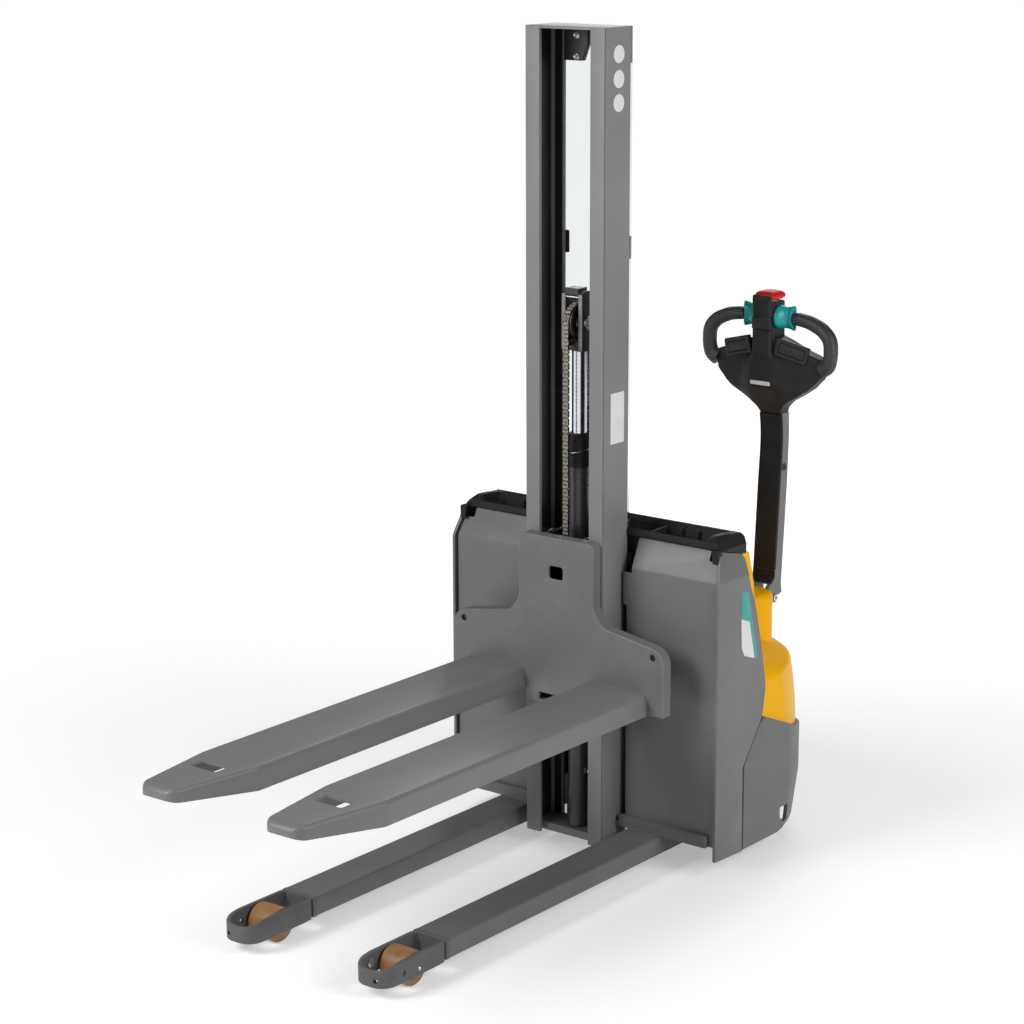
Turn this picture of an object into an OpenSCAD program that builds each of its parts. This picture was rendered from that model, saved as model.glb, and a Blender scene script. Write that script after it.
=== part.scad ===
// Electric straddle stacker with a single-stage mast, in millimetres.
// X runs across the machine, fork tips point to -Y, the operator stands at +Y, the floor is z = 0.
// Inside the modules y is counted from the front face of the mast.

/* [Overall] */
// Width over the two side plates
body_w = 800; // [780:1:860]
// Height of the top of the mast
mast_h = 1992; // [1980:1:2200]
// Distance of the mast's front face behind the middle of the machine
mast_y = 274; // [260:1:290]

/* [Mast] */
// Width over the two mast profiles
mast_w = 226; // [226:1:240]
// Depth of a mast profile
mast_d = 103; // [103:1:110]
// Thickness of a profile's web
web_t = 9; // [8:0.5:9]
// Thickness of a profile's flanges
flange_t = 11; // [11:0.5:13]
// Width of a profile's flanges
flange_w = 40; // [40:1:42]
// Height of the bottom of the mast
mast_foot_z = 37; // [34:1:40]
// Thickness of the foot plate between the profiles
foot_plate_t = 20; // [16:1:20]
// Thickness of the plate on top of the mast
top_plate_t = 12; // [10:1:16]
// Thickness of the crossbars behind the profiles
crossbar_t = 6; // [5:0.5:6]
// Thickness of the clear guard sheet
guard_t = 3; // [2:0.5:4]
// Height of the lower edge of the guard sheet
guard_z = 830; // [826:1:900]

/* [Forks and carriage] */
// Height of the fork tops as photographed
fork_z = 465; // [455:1:475]
// Width of one fork
fork_w = 172.5; // [165:0.5:180]
// Distance of a fork's inner side from the middle
fork_in = 94.5; // [90:0.5:100]
// Length of a fork from the carriage
fork_len = 1155; // [1100:1:1160]
// Height of a fork's sides
fork_h = 56; // [50:1:58]
// Wall of the folded fork section
fork_wall = 6; // [5:0.5:7]
// Thickness of the carriage's front plate
plate_t = 8; // [6:0.5:10]
// Depth of the carriage pan with its rim
pan_d = 31; // [28:1:34]
// Half the width of the carriage plate
plate_half_w = 315; // [300:1:330]
// Half the width of the tongue below the carriage plate
tongue_half = 88; // [80:1:90]
// Drop of this tongue below the plate
tongue_drop = 30; // [28:1:34]
// Height of the carriage plate's neck
plate_top_z = 800; // [780:1:820]
// Radius of the two holes in the carriage's shoulders
guard_hole_r = 7.5; // [5:0.5:9]
// Distance between these two holes
guard_hole_pitch = 566; // [540:2:590]
// Gap between the carriage plate and the mast
carriage_gap = 2; // [1:0.5:3]
// Gap between a roller and a flange
roller_gap = 0.3; // [0.2:0.1:0.6]
// Height between the lower and the upper rollers
roller_pitch = 270; // [240:1:280]
// Thickness of the roller carrier plates
carrier_t = 12; // [10:1:14]
// Radius of the rollers' stub shafts
stub_r = 15; // [12:1:18]

/* [Lift] */
// Outer radius of the lift cylinder's tube
tube_r = 25; // [24:0.5:28]
// Radius of the cylinder's bore
tube_bore_r = 20; // [19:0.5:21]
// Radius of the piston rod
rod_r = 18; // [15:0.5:18.5]
// Height of the top of the tube
tube_top_z = 960; // [950:1:970]
// Height of the top of the gland
gland_top_z = 1040; // [1030:1:1050]
// Height of the chain sheave's axle
sheave_z = 1307; // [1300:1:1320]
// Pitch radius of the chain on its sheave
chain_pitch_r = 43; // [42:0.5:44]
// Width of the lift chain
chain_w = 14.6; // [12:0.2:15]
// Depth of the chain's link plates
chain_d = 12; // [10:1:13]
// Radial gap of running fits
run_gap = 0.05; // [0.02:0.01:0.1]

/* [Support legs] */
// Distance of a leg's inner side from the middle
leg_in = 147; // [145:1:150]
// Width of a leg
leg_w = 97; // [94:1:100]
// Height of the top of a leg
leg_top = 79; // [76:1:79]
// Height of the underside of a leg
leg_bottom = 32; // [28:1:36]
// Wall of a leg tube
leg_wall = 6; // [4:0.5:8]
// Length of the leg tube in front of the mast
leg_front = 729; // [700:1:740]
// Length of the casting at a leg's tip
tip_len = 217; // [210:1:230]
// Wall beside the load wheel
tip_wall = 10; // [9:0.5:11]
// Radius of the load wheels
load_r = 40; // [38:0.5:42]
// Width of the load wheels
load_w = 68; // [60:1:70]
// Radius of the load wheels' axles
load_axle_r = 8; // [6:0.5:10]
// Distance of a load wheel's axle from the tip's joint
load_axle_in = 102; // [98:1:110]

/* [Body] */
// Thickness of the side plates
side_t = 8; // [6:0.5:10]
// Thickness of the front panels
panel_t = 4; // [3:0.5:5]
// Distance of the front panels behind the mast's front face
panel_y = 75; // [74:1:78]
// Height at which plates and panels fold inward
fold_z = 727; // [722:1:730]
// Height of the folded edge of the side plates
plate_edge_z = 800; // [798:1:802]
// Distance that the side plates lean in above the fold
lean_in = 16.4; // [14:0.2:20]
// Thickness of the floor plate, bulkhead and deck
frame_t = 12; // [10:1:12]
// Height of the floor plate's underside
floor_z = 79; // [79:1:79]
// Height of the rear deck's underside
deck_z = 260; // [256:1:262]
// Wall of the rear bumper
bumper_wall = 8; // [6:0.5:8]
// Wall of the yellow rear cover
cover_wall = 4; // [3:0.5:5]
// Height of the rear cover's shelf
shelf_z = 490; // [480:1:490]
// Start of the rear bow along the sides
bow_y = 390; // [380:1:395]
// Depth of the rear bow
bow_d = 250; // [240:1:255]

/* [Drive and castor] */
// Distance of the drive and of the castor from the side plates' outer faces
drive_in = 185; // [182:1:188]
// Distance of the drive's axis behind the mast's front face
drive_y = 475; // [470:1:480]
// Radius of the drive wheel
drive_r = 100; // [92:1:101]
// Width of the drive wheel
drive_w = 65; // [56:1:68]
// Radius of the castor wheel
castor_r = 65; // [60:1:68]
// Width of the castor wheel
castor_w = 50; // [40:1:52]
// Trail of the castor wheel
castor_trail = 30; // [20:1:34]
// Radius of the steering dome
dome_r = 60; // [56:1:62]
// Height of the top of the steering dome
dome_top = 600; // [596:1:604]

/* [Tiller] */
// Distance of the tiller's pin behind the mast's front face
pin_y = 548; // [546:1:550]
// Height of the tiller's pin
pin_z = 568; // [566:1:570]
// Radius of the tiller's pin
pin_r = 6; // [5:0.5:7]
// Width of the tiller arm
arm_w = 63; // [60:1:66]
// Height of the joint between arm and control head
head_z = 1033; // [1028:1:1036]
// Wall of the arm's channel
arm_wall = 3; // [2:0.5:4]

/* [Control head] */
// Radius of the hand grips
grip_r = 16; // [14:0.5:17]
// Radius of the bar that carries the throttle wings
core_r = 9; // [8:0.5:10]
// Height of the grip bar
bar_z = 1277; // [1274:1:1280]
// Height of the top of the reverse button
belly_top = 1341; // [1338:1:1346]
// Travel of the reverse button
belly_travel = 6; // [4:0.5:7]
// Travel of the horn button
horn_travel = 2.5; // [2:0.5:3]
// Gap round buttons and rockers
button_gap = 0.5; // [0.3:0.1:0.8]
// Radius of the throttle wings
wing_r = 27; // [24:0.5:28]

/* [Hidden] */
$fn = 48;

half_w = body_w / 2;
side_in = half_w - side_t;
drive_x = half_w - drive_in;
mast_half = mast_w / 2;
web_in = mast_half - web_t;
flange_in = mast_half - flange_w;
mast_back = mast_d + crossbar_t;
roller_y = mast_d / 2;
roller_r = roller_y - flange_t - roller_gap;
roller_z = fork_z + 20;
carrier_x = flange_in - 11 - carrier_t;
leg_mid = leg_in + leg_w / 2;
leg_back = 262;
bulk_y = leg_back + 8;
fork_mid = fork_in + fork_w / 2;
load_y = -leg_front - load_axle_in;
rod_z = 350;
battery_gap = 22;
pump_motor_r = 52;
pump_motor_x = leg_mid - 5;
fin_count = 7;
fin_t = 8;
controller_in = pump_motor_x + pump_motor_r + 27.5;
controller_out = side_in - 22;
fin_pitch = (controller_out - controller_in - 8 - fin_t) / (fin_count - 1);
cyl_y = 60;
cheek_in = 18.5;
cheek_t = 12;
cheek_top = 75;
pin_head_r = 17;
sheave_y = roller_y + 0.5;
bracket_z = sheave_z - 67;
chain_front_y = sheave_y - chain_pitch_r;
chain_rear_y = sheave_y + chain_pitch_r;
anchor_z = fork_z - 63;
rear_anchor_z = 245;
stop_in = 20.5;
fold_angle = atan(lean_in / (plate_edge_z - fold_z));
panel_lean = 31;
panel_top = fold_z + 70;
panel_angle = atan(panel_lean / (panel_top - fold_z));
floor_top = floor_z + frame_t;
deck_top = deck_z + frame_t;
ring_h = 18;
ring_top = deck_top + ring_h;
spindle_r = 70;
column_r = 40;
dome_z = shelf_z + 2;
grip_y = pin_y;
neck_half = 27;
neck_top = belly_top - 14;
belly_floor = neck_top - 15;
horn_back = 514;
rocker_l = 80;
rocker_h = 40;
rocker_t = 8;
rocker_tilt = 14;
rocker_turn = 11.5;
rocker_at = [77, 529, 1198];
stop_at = [-110, 380];
key_at = [-190, 380];

// Shapes that the pieces share
module in_place() {
    translate([0, mast_y, 0]) children();
}

module block(lo, hi) {
    translate(lo) cube(hi - lo);
}

// Solid between x0 and x1 from an outline of y and z
module side_slab(x0, x1, outline) {
    translate([x0, 0, 0]) rotate([90, 0, 90]) linear_extrude(x1 - x0) polygon(outline);
}

// Solid between y0 and y1 from an outline of x and z
module front_slab(y0, y1, outline) {
    translate([0, y1, 0]) rotate([90, 0, 0]) linear_extrude(y1 - y0) polygon(outline);
}

// Solid between z0 and z1 from an outline of x and y
module plan_slab(z0, z1, outline) {
    translate([0, 0, z0]) linear_extrude(z1 - z0) polygon(outline);
}

module bar_x(x0, x1, y, z, r) {
    translate([x0, y, z]) rotate([0, 90, 0]) cylinder(h = x1 - x0, r = r);
}

module post(x, y, z0, z1, r) {
    translate([x, y, z0]) cylinder(h = z1 - z0, r = r);
}

module rod_between(a, b, r) {
    d = b - a;
    translate(a) rotate([0, acos(d[2] / norm(d)), atan2(d[1], d[0])]) cylinder(h = norm(d), r = r);
}

module both_sides() {
    children();
    mirror([1, 0, 0]) children();
}

module left_side() {
    mirror([1, 0, 0]) children();
}

// Closed solid through rings of points, each ring counter-clockwise about the way to the next
module skin(rings) {
    n = len(rings[0]);
    last = len(rings) - 1;
    walls = [for (k = [0 : last - 1]) for (i = [0 : n - 1]) each [
        [k * n + i, (k + 1) * n + i, (k + 1) * n + (i + 1) % n],
        [k * n + i, (k + 1) * n + (i + 1) % n, k * n + (i + 1) % n]]];
    base = [[for (i = [0 : n - 1]) i]];
    lid = [[for (i = [n - 1 : -1 : 0]) last * n + i]];
    polyhedron(points = [for (r = rings) each r], faces = concat(base, lid, walls));
}

function at_height(outline, z) = [for (p = outline) [p[0], p[1], z]];

// Depth of the rear bow at x
function bow_at(x) = bow_y + bow_d * pow(max(0, 1 - pow(abs(x) / half_w, 4)), 1 / 1.2);

// Rear outline, drawn in by inset, its bow moved forward by tuck, closed at front_y
function bow_outline(inset, front_y, tuck = 0) = concat(
    [[-(half_w - inset), front_y], [half_w - inset, front_y]],
    [for (a = [90 : -7.5 : -90]) let (x = half_w * sin(a))
        [x * (half_w - inset) / half_w, bow_at(x) - inset - tuck]]);

// Frame
module base_frame() {
    color("#6b6b6b") in_place() {
        both_sides() block([leg_in - 26, 60, leg_top], [half_w - 25, panel_y, leg_top + 29]);
        difference() {
            block([-side_in, 60, floor_z], [side_in, leg_back, floor_top]);
            block([-mast_half, 50, floor_z - 1], [mast_half, mast_back, floor_top + 1]);
            both_sides() block([half_w - 25, 50, floor_z - 1], [half_w, panel_y, floor_top + 1]);
        }
        block([-(side_in - 8), leg_back, 60], [side_in - 8, bulk_y, deck_top]);
        difference() {
            plan_slab(deck_z, deck_top, bow_outline(bumper_wall + cover_wall + 1, bulk_y - 1));
            post(drive_x, drive_y, deck_z - 1, deck_top + 1, spindle_r + 15);
            post(-drive_x, drive_y, deck_z - 1, deck_top + 1, stub_r + 5);
        }
    }
}

module support_leg() {
    color("#6b6b6b") in_place() difference() {
        block([leg_in, -leg_front, leg_bottom], [leg_in + leg_w, leg_back, leg_top]);
        block([leg_in + leg_wall, -leg_front - 1, leg_bottom + leg_wall],
              [leg_in + leg_w - leg_wall, leg_back + 1, leg_top - leg_wall]);
    }
}

module support_leg_left() {
    left_side() support_leg();
}

module support_leg_right() {
    support_leg();
}

// Plan outline of a leg tip, drawn in by wall, with its round nose
function nose_outline(wall, back) = let (r = 40 - wall, x0 = leg_in + wall, x1 = leg_in + leg_w - wall,
    y = -leg_front - tip_len + wall) concat(
    [[x1, back], [x0, back]],
    [for (a = [180 : 15 : 270]) [x0 + r + r * cos(a), y + r + r * sin(a)]],
    [for (a = [270 : 15 : 360]) [x1 - r + r * cos(a), y + r + r * sin(a)]]);

module leg_tips() {
    low = leg_bottom - 4;
    nose = -leg_front - tip_len;
    color("#5f5f5f") in_place() both_sides() difference() {
        intersection() {
            plan_slab(low, leg_top, nose_outline(0, -leg_front));
            side_slab(leg_in, leg_in + leg_w, [[-leg_front, leg_bottom], [-leg_front - 31, low],
                [nose, low], [nose, leg_top - 13], [nose + 50, leg_top], [-leg_front, leg_top]]);
        }
        plan_slab(low - 1, leg_top + 1, nose_outline(tip_wall, -leg_front - 13));
        bar_x(leg_in - 1, leg_in + leg_w + 1, load_y, load_r, load_axle_r + 0.02);
        translate([leg_mid + 20, nose - 1, 45]) rotate([-90, 0, 0]) cylinder(h = tip_wall + 4, r = 4);
    }
}

module load_wheel_axles() {
    color("#c9c9c9") in_place() both_sides() bar_x(leg_in, leg_in + leg_w, load_y, load_r, load_axle_r);
}

module load_wheel() {
    color("#b07a45") in_place() difference() {
        union() {
            bar_x(leg_mid - load_w / 2 + 3, leg_mid + load_w / 2 - 3, load_y, load_r, load_r);
            bar_x(leg_mid - load_w / 2, leg_mid + load_w / 2, load_y, load_r, load_r - 3);
        }
        bar_x(leg_in, leg_in + leg_w, load_y, load_r, load_axle_r + run_gap);
    }
}

module load_wheel_left() {
    left_side() load_wheel();
}

module load_wheel_right() {
    load_wheel();
}

// Casing
module side_plate() {
    lower = [[67, 46], [183, 41], [181, 253], [262, 362], [272, 425], [273, 450], [257, 524],
             [242, 584], [223, 653], [207, 687], [197, 715], [193.5, fold_z], [67, fold_z]];
    upper = [[67, fold_z - 0.5], [193.5, fold_z - 0.5], [193, fold_z + 11], [190, 758], [188, 770],
             [184, 778], [163, 783], [93, plate_edge_z]];
    color("#7a7a7a") in_place() {
        side_slab(side_in, half_w, lower);
        intersection() {
            side_slab(side_in - 40, half_w, upper);
            translate([half_w, 0, fold_z]) rotate([0, -fold_angle, 0])
                block([-side_t, 50, -3], [0, 200, 90]);
        }
    }
}

module side_plate_left() {
    left_side() side_plate();
}

module side_plate_right() {
    side_plate();
}

module front_panel() {
    inner = mast_half + 18;
    outer = side_in - 4;
    color("#707070") in_place() {
        front_slab(panel_y, panel_y + panel_t, [[inner, floor_top], [outer, floor_top],
            [outer, fold_z], [inner + 14, fold_z], [inner + 14, 715], [inner - 10, 715],
            [inner - 10, 634], [inner, 634]]);
        intersection() {
            front_slab(panel_y - 5, panel_y + 60, [[inner + 14, fold_z - 0.5], [outer, fold_z - 0.5],
                [outer - 8, 775], [352, 775], [352, panel_top], [inner + 14, panel_top]]);
            translate([0, panel_y, fold_z]) rotate([-panel_angle, 0, 0])
                block([0, 0, -3], [half_w, panel_t, 90]);
        }
    }
}

module front_panel_left() {
    left_side() front_panel();
}

module front_panel_right() {
    front_panel();
}

module skirt(inset, low, high) {
    skin([at_height(bow_outline(inset, 170, 31), low), at_height(bow_outline(inset, 170), 158),
          at_height(bow_outline(inset, 170), high)]);
}

module rear_bumper() {
    color("#747474") in_place() intersection() {
        difference() {
            skirt(0, 40, 370);
            skirt(bumper_wall, 39, 371);
            block([-half_w, 160, 30], [half_w, 175, 400]);
            both_sides() block([half_w - 60, 351, 65], [half_w + 1, 386, 103]);
        }
        side_slab(-half_w, half_w, [[183, 43], [375, 43], [402, 52], [650, 52], [650, 240],
            [427, 296], [262, 362], [181, 253]]);
    }
}

// Rear cover body, drawn in by inset, with open front and underside when reach is above 0
module cover_body(inset, reach) {
    edge = bumper_wall + 0.5 + inset;
    front = 200 - reach;
    skin([at_height(bow_outline(edge, front), 228 - reach), at_height(bow_outline(edge, front), 300),
          at_height(bow_outline(edge + 12, front), 445),
          at_height(bow_outline(edge + 51.5, front), shelf_z - inset)]);
    intersection() {
        side_slab(-half_w, half_w, [[150 - reach, 460 - reach], [268 - inset, 460 - reach], [268 - inset, 500],
            [258 - inset, 600], [245 - inset, 653], [230 - inset, 702], [215 - inset, 777 - inset],
            [150 - reach, 777 - inset]]);
        front_slab(140 - reach, 300, [[-(side_in - 1 - inset), 200], [side_in - 1 - inset, 200],
            [side_in - 1 - inset, fold_z], [side_in - 18 - inset, plate_edge_z],
            [-(side_in - 18 - inset), plate_edge_z], [-(side_in - 1 - inset), fold_z]]);
    }
}

module rear_cover() {
    color("#fdb515") in_place() difference() {
        cover_body(0, 0);
        cover_body(cover_wall, 20);
        block([-(side_in - 22), 140, 700], [side_in - 22, 192, 790]);
        post(drive_x, drive_y, shelf_z - 10, shelf_z + 10, column_r + 5);
        post(stop_at[0], stop_at[1], shelf_z - 10, shelf_z + 10, 8 + run_gap);
        post(key_at[0], key_at[1], shelf_z - 10, shelf_z + 10, 11 + run_gap);
    }
}

module storage_tray() {
    end_x = half_w - lean_in;
    color("#2b2b2b") in_place() difference() {
        union() {
            intersection() {
                side_slab(-end_x, end_x, [[97, 801], [97, 818], [112, 824], [119, 830], [209, 820],
                    [245, 776], [228, 765], [220, 777.5], [190, 778.5], [163, 784], [106, panel_top + 2]]);
                front_slab(90, 250, [[-end_x, 760], [end_x, 760], [end_x, plate_edge_z], [358, 830],
                    [-358, 830], [-end_x, plate_edge_z]]);
            }
            block([-340, 118, 765], [340, 188, 800]);
        }
        block([-mast_half - 1, 90, 750], [mast_half + 1, mast_back + guard_t + 1, 840]);
        for (span = [[-334, -172], [-164, -4], [4, 164], [172, 334]])
            block([span[0], 122, 769], [span[1], 184, 840]);
        block([-345, 114, 818], [345, 196, 840]);
    }
}

// Mast
module mast_profile() {
    color("#6b6b6b") in_place() plan_slab(mast_foot_z, mast_h - top_plate_t, [[flange_in, 0],
        [mast_half, 0], [mast_half, 1.5], [mast_half - 2, 1.5], [mast_half - 2, 4], [mast_half, 4],
        [mast_half, mast_d], [flange_in, mast_d], [flange_in, mast_d - flange_t],
        [web_in, mast_d - flange_t], [web_in, flange_t], [flange_in, flange_t]]);
}

module mast_profile_left() {
    left_side() mast_profile();
}

module mast_profile_right() {
    mast_profile();
}

module mast_top_plate() {
    color("#6b6b6b") in_place()
        block([-mast_half, 0, mast_h - top_plate_t], [mast_half, mast_d, mast_h]);
}

module mast_crossbars() {
    color("#6b6b6b") in_place() {
        front_slab(mast_d, mast_back, [[-mast_half, mast_h - 84], [-stop_in, mast_h - 84],
            [-4, mast_h - 41], [4, mast_h - 41], [stop_in, mast_h - 84], [mast_half, mast_h - 84],
            [mast_half, mast_h], [-mast_half, mast_h]]);
        for (span = [[80, 160], [235, 300], [620, 700]])
            block([-mast_half, mast_d, span[0]], [mast_half, mast_back, span[1]]);
        block([-12, chain_rear_y - chain_d / 2 - 2, rear_anchor_z], [12, mast_d, rear_anchor_z + 30]);
        both_sides() block([69, mast_d, 1458], [mast_half, mast_d + 5, 1512]);
        block([-flange_in, 22, mast_foot_z], [flange_in, mast_d, mast_foot_z + foot_plate_t]);
        both_sides() block([flange_in, 22, mast_foot_z],
                           [web_in, mast_d - flange_t, mast_foot_z + foot_plate_t]);
    }
}

module stop_block() {
    color("#2b2b2b") in_place() both_sides() {
        front_slab(mast_d - 7, mast_d, [[flange_in, mast_h - 84], [flange_in, mast_h - top_plate_t],
            [6, mast_h - top_plate_t], [6, mast_h - 41], [stop_in + 1.5, mast_h - 84]]);
        for (z = [mast_h - 75, mast_h - 26])
            translate([38, mast_d - 10, z]) rotate([-90, 0, 0]) cylinder(h = 3, r = 5);
    }
}

module mast_guard() {
    color([0.85, 0.88, 0.9, 0.4]) in_place()
        block([-(mast_half - 3), mast_back, guard_z], [mast_half - 3, mast_back + guard_t, mast_h - 7]);
}

// Lift cylinder
module lift_cylinder() {
    foot = mast_foot_z + foot_plate_t;
    color("#3a3438") in_place() difference() {
        union() {
            post(0, cyl_y, foot, tube_top_z, tube_r);
            post(0, cyl_y, foot, foot + 100, tube_r + 2.5);
        }
        post(0, cyl_y, foot + 16, tube_top_z + 1, tube_bore_r);
    }
}

module cylinder_gland() {
    color("#242424") in_place() difference() {
        post(0, cyl_y, tube_top_z, gland_top_z, tube_r + 3);
        post(0, cyl_y, tube_top_z - 1, gland_top_z + 1, rod_r + run_gap);
    }
}

module piston_rod() {
    color("#d5d8da") in_place() {
        post(0, cyl_y, rod_z, bracket_z, rod_r);
        post(0, cyl_y, rod_z, rod_z + 35, tube_bore_r - run_gap);
    }
}

module sheave_bracket() {
    color("#333333") in_place() {
        block([-cheek_in, cyl_y - 26, bracket_z], [cheek_in, cyl_y + 26, bracket_z + 12]);
        difference() {
            both_sides() side_slab(cheek_in, cheek_in + cheek_t, [[30, bracket_z], [84, bracket_z],
                [84, sheave_z + 55], [66, sheave_z + cheek_top], [42, sheave_z + cheek_top],
                [30, sheave_z + cheek_top - 7]]);
            bar_x(-40, 40, sheave_y, sheave_z, 10 + 0.02);
        }
        block([-cheek_in, 30, sheave_z + 66], [cheek_in, 64, sheave_z + 82]);
        bar_x(-cheek_in, cheek_in, 34, sheave_z + 61, 2.5);
    }
}

module sheave_pin() {
    color("#c9c9c9") in_place() {
        bar_x(-(cheek_in + cheek_t + 3), cheek_in + cheek_t, sheave_y, sheave_z, 10);
        bar_x(cheek_in + cheek_t, cheek_in + cheek_t + 5, sheave_y, sheave_z, pin_head_r);
    }
}

module chain_sheave() {
    root_r = chain_pitch_r - chain_d / 2 - 0.4;
    color("#4a4a4a") in_place() difference() {
        union() {
            bar_x(-12.5, 12.5, sheave_y, sheave_z, root_r);
            both_sides() bar_x(chain_w / 2 + 1, 12.5, sheave_y, sheave_z, root_r + 6);
        }
        bar_x(-20, 20, sheave_y, sheave_z, 10 + run_gap);
    }
}

module lift_chain_front() {
    color("#2e2e2e") in_place() {
        block([-chain_w / 2, chain_front_y - chain_d / 2, fork_z - 39],
              [chain_w / 2, chain_front_y + chain_d / 2, sheave_z]);
        intersection() {
            translate([-chain_w / 2, sheave_y, sheave_z]) rotate([0, 90, 0]) difference() {
                cylinder(h = chain_w, r = chain_pitch_r + chain_d / 2);
                translate([0, 0, -1]) cylinder(h = chain_w + 2, r = chain_pitch_r - chain_d / 2);
            }
            block([-20, -20, sheave_z], [20, 120, sheave_z + 60]);
        }
    }
}

module lift_chain_rear() {
    color("#2e2e2e") in_place()
        block([-chain_w / 2, chain_rear_y - chain_d / 2, rear_anchor_z + 30],
              [chain_w / 2, chain_rear_y + chain_d / 2, sheave_z]);
}

// Carriage
module carriage_outline(inset = 0) {
    right = [[plate_half_w - inset, 413 + inset], [plate_half_w - inset, 540],
             [plate_half_w - 8 - inset, 557 - inset / 2], [plate_half_w - 22 - inset / 2, 570 - inset],
             [plate_half_w - 42, 573 - inset], [136 - inset / 2, 603 - inset], [125 - inset, 611 - inset / 2],
             [117 - inset, 626], [113 - inset, 642], [111 - inset, 778], [108 - inset, 791 - inset / 2],
             [95 - inset / 2, plate_top_z - inset]];
    tongue = [[tongue_half - inset, 413 - tongue_drop + inset], [tongue_half - inset, 413 + inset]];
    half = concat(tongue, right);
    left = [for (i = [len(half) - 1 : -1 : 0]) [-half[i][0], half[i][1]]];
    translate([0, fork_z - 465]) polygon(concat(half, left));
}

module carriage_pan(front, back, inset) {
    translate([0, back, 0]) rotate([90, 0, 0]) linear_extrude(back - front) carriage_outline(inset);
}

module carriage_plate() {
    back = -carriage_gap;
    front = back - pan_d;
    color("#6b6b6b") in_place() difference() {
        carriage_pan(front, back, 0);
        difference() {
            carriage_pan(front + plate_t, back + 1, plate_t);
            for (x = [-carrier_x - carrier_t, carrier_x])
                block([x, front, 0], [x + carrier_t, 10, plate_top_z]);
            block([-20, front, 0], [20, 10, anchor_z + 24]);
        }
        block([-20, front - 1, fork_z + 233], [20, front + plate_t + 1, fork_z + 264]);
        block([-50, front - 1, fork_z - 73], [50, front + plate_t + 1, fork_z - 56]);
        both_sides() block([leg_in - 6, front - 1, 300], [leg_in + leg_w + 6, 1, fork_z - fork_wall]);
        both_sides() translate([guard_hole_pitch / 2, front - 1, fork_z + 90]) rotate([-90, 0, 0])
            cylinder(h = plate_t + 2, r = guard_hole_r);
    }
}

module roller_carriers() {
    back = -carriage_gap;
    color("#555555") in_place() {
        both_sides() block([carrier_x, back, fork_z - 25], [carrier_x + carrier_t, mast_d - 8, plate_top_z - 1]);
        both_sides() for (z = [roller_z, roller_z + roller_pitch])
            bar_x(carrier_x + carrier_t, web_in - 1.5, roller_y, z, stub_r);
        block([-20, back, anchor_z], [20, 18, anchor_z + 24]);
    }
}

module mast_roller(z) {
    color("#8d9093") in_place() difference() {
        bar_x(flange_in + 1, web_in - 0.5, roller_y, z, roller_r);
        bar_x(flange_in, web_in, roller_y, z, stub_r + run_gap);
    }
}

module roller_upper_left() {
    left_side() mast_roller(roller_z + roller_pitch);
}

module roller_upper_right() {
    mast_roller(roller_z + roller_pitch);
}

module roller_lower_left() {
    left_side() mast_roller(roller_z);
}

module roller_lower_right() {
    mast_roller(roller_z);
}

// Forks
function fork_plan(inset, tip) = let (x0 = fork_in + inset, x1 = fork_in + fork_w - inset,
    root = -carriage_gap - pan_d, half = 48 - inset) [[x1, root + (inset > 0 ? 1 : 0)], [x0, root + (inset > 0 ? 1 : 0)],
    [x0, -960], [fork_mid - half, tip + 14], [fork_mid - half + 12, tip], [fork_mid + half - 12, tip],
    [fork_mid + half, tip + 14], [x1, -960]];

module fork() {
    root = -carriage_gap - pan_d;
    tip = root - fork_len;
    low = fork_z - fork_h;
    color("#747474") in_place() difference() {
        intersection() {
            plan_slab(low, fork_z, fork_plan(0, tip));
            side_slab(0, half_w, [[root, low], [-960, low], [tip, low + 26], [tip, fork_z - 10],
                [tip + 10, fork_z], [root, fork_z]]);
        }
        plan_slab(low - 1, fork_z - fork_wall, fork_plan(fork_wall, tip + 22));
        block([fork_mid - 39, -1045, low], [fork_mid + 39, -1003, fork_z + 1]);
    }
}

module fork_left() {
    left_side() fork();
}

module fork_right() {
    fork();
}

// Power units
module battery() {
    color("#3c3c3c") in_place() {
        block([-(side_in - battery_gap), panel_y + 12, floor_top], [-(mast_half + 12), leg_back - 8, 540]);
        for (x = [-340, -170]) post(x, 200, 540, 556, 9);
    }
}

module pump_unit() {
    color("#4b4f52") in_place() {
        block([mast_half + 27, panel_y + 20, floor_top], [side_in - 12, leg_back - 12, 250]);
        post(pump_motor_x, 170, 250, 400, pump_motor_r);
    }
}

module motor_controller() {
    color("#2f3133") in_place() {
        block([controller_in, 110, 250], [controller_out, 240, 262]);
        for (i = [0 : fin_count - 1])
            translate([controller_in + 4 + i * fin_pitch, 112, 262]) cube([fin_t, 126, 178]);
        block([controller_in + 4, 170, 262], [controller_out - 4, 180, 440]);
    }
}

module hydraulic_pipe() {
    route = [[mast_half + 27, 150, 200], [40, 150, 200], [40, cyl_y, 200], [tube_r - 1, cyl_y, 200]];
    color("#8b8f92") in_place() difference() {
        union() {
            for (i = [0 : 2]) rod_between(route[i], route[i + 1], 6);
            for (i = [1 : 2]) translate(route[i]) sphere(r = 6);
        }
        post(0, cyl_y, 150, 250, tube_r);
    }
}

// Drive
module slewing_ring() {
    color("#8d9093") in_place() difference() {
        post(drive_x, drive_y, deck_top, ring_top, spindle_r + 32);
        post(drive_x, drive_y, deck_top - 1, ring_top + 1, spindle_r + run_gap);
    }
}

module drive_gearbox() {
    color("#54585b") in_place() {
        block([drive_x - 75, drive_y - 55, drive_r - 45], [drive_x - drive_w / 2 - 2, drive_y + 55, 2 * drive_r + 13]);
        post(drive_x, drive_y, 2 * drive_r + 12, 2 * drive_r + 28, spindle_r + 14);
        post(drive_x, drive_y, 2 * drive_r + 28, ring_top + 4, spindle_r);
        bar_x(drive_x - drive_w / 2 - 2, drive_x + drive_w / 2 + 3, drive_y, drive_r, 15);
    }
}

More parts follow.
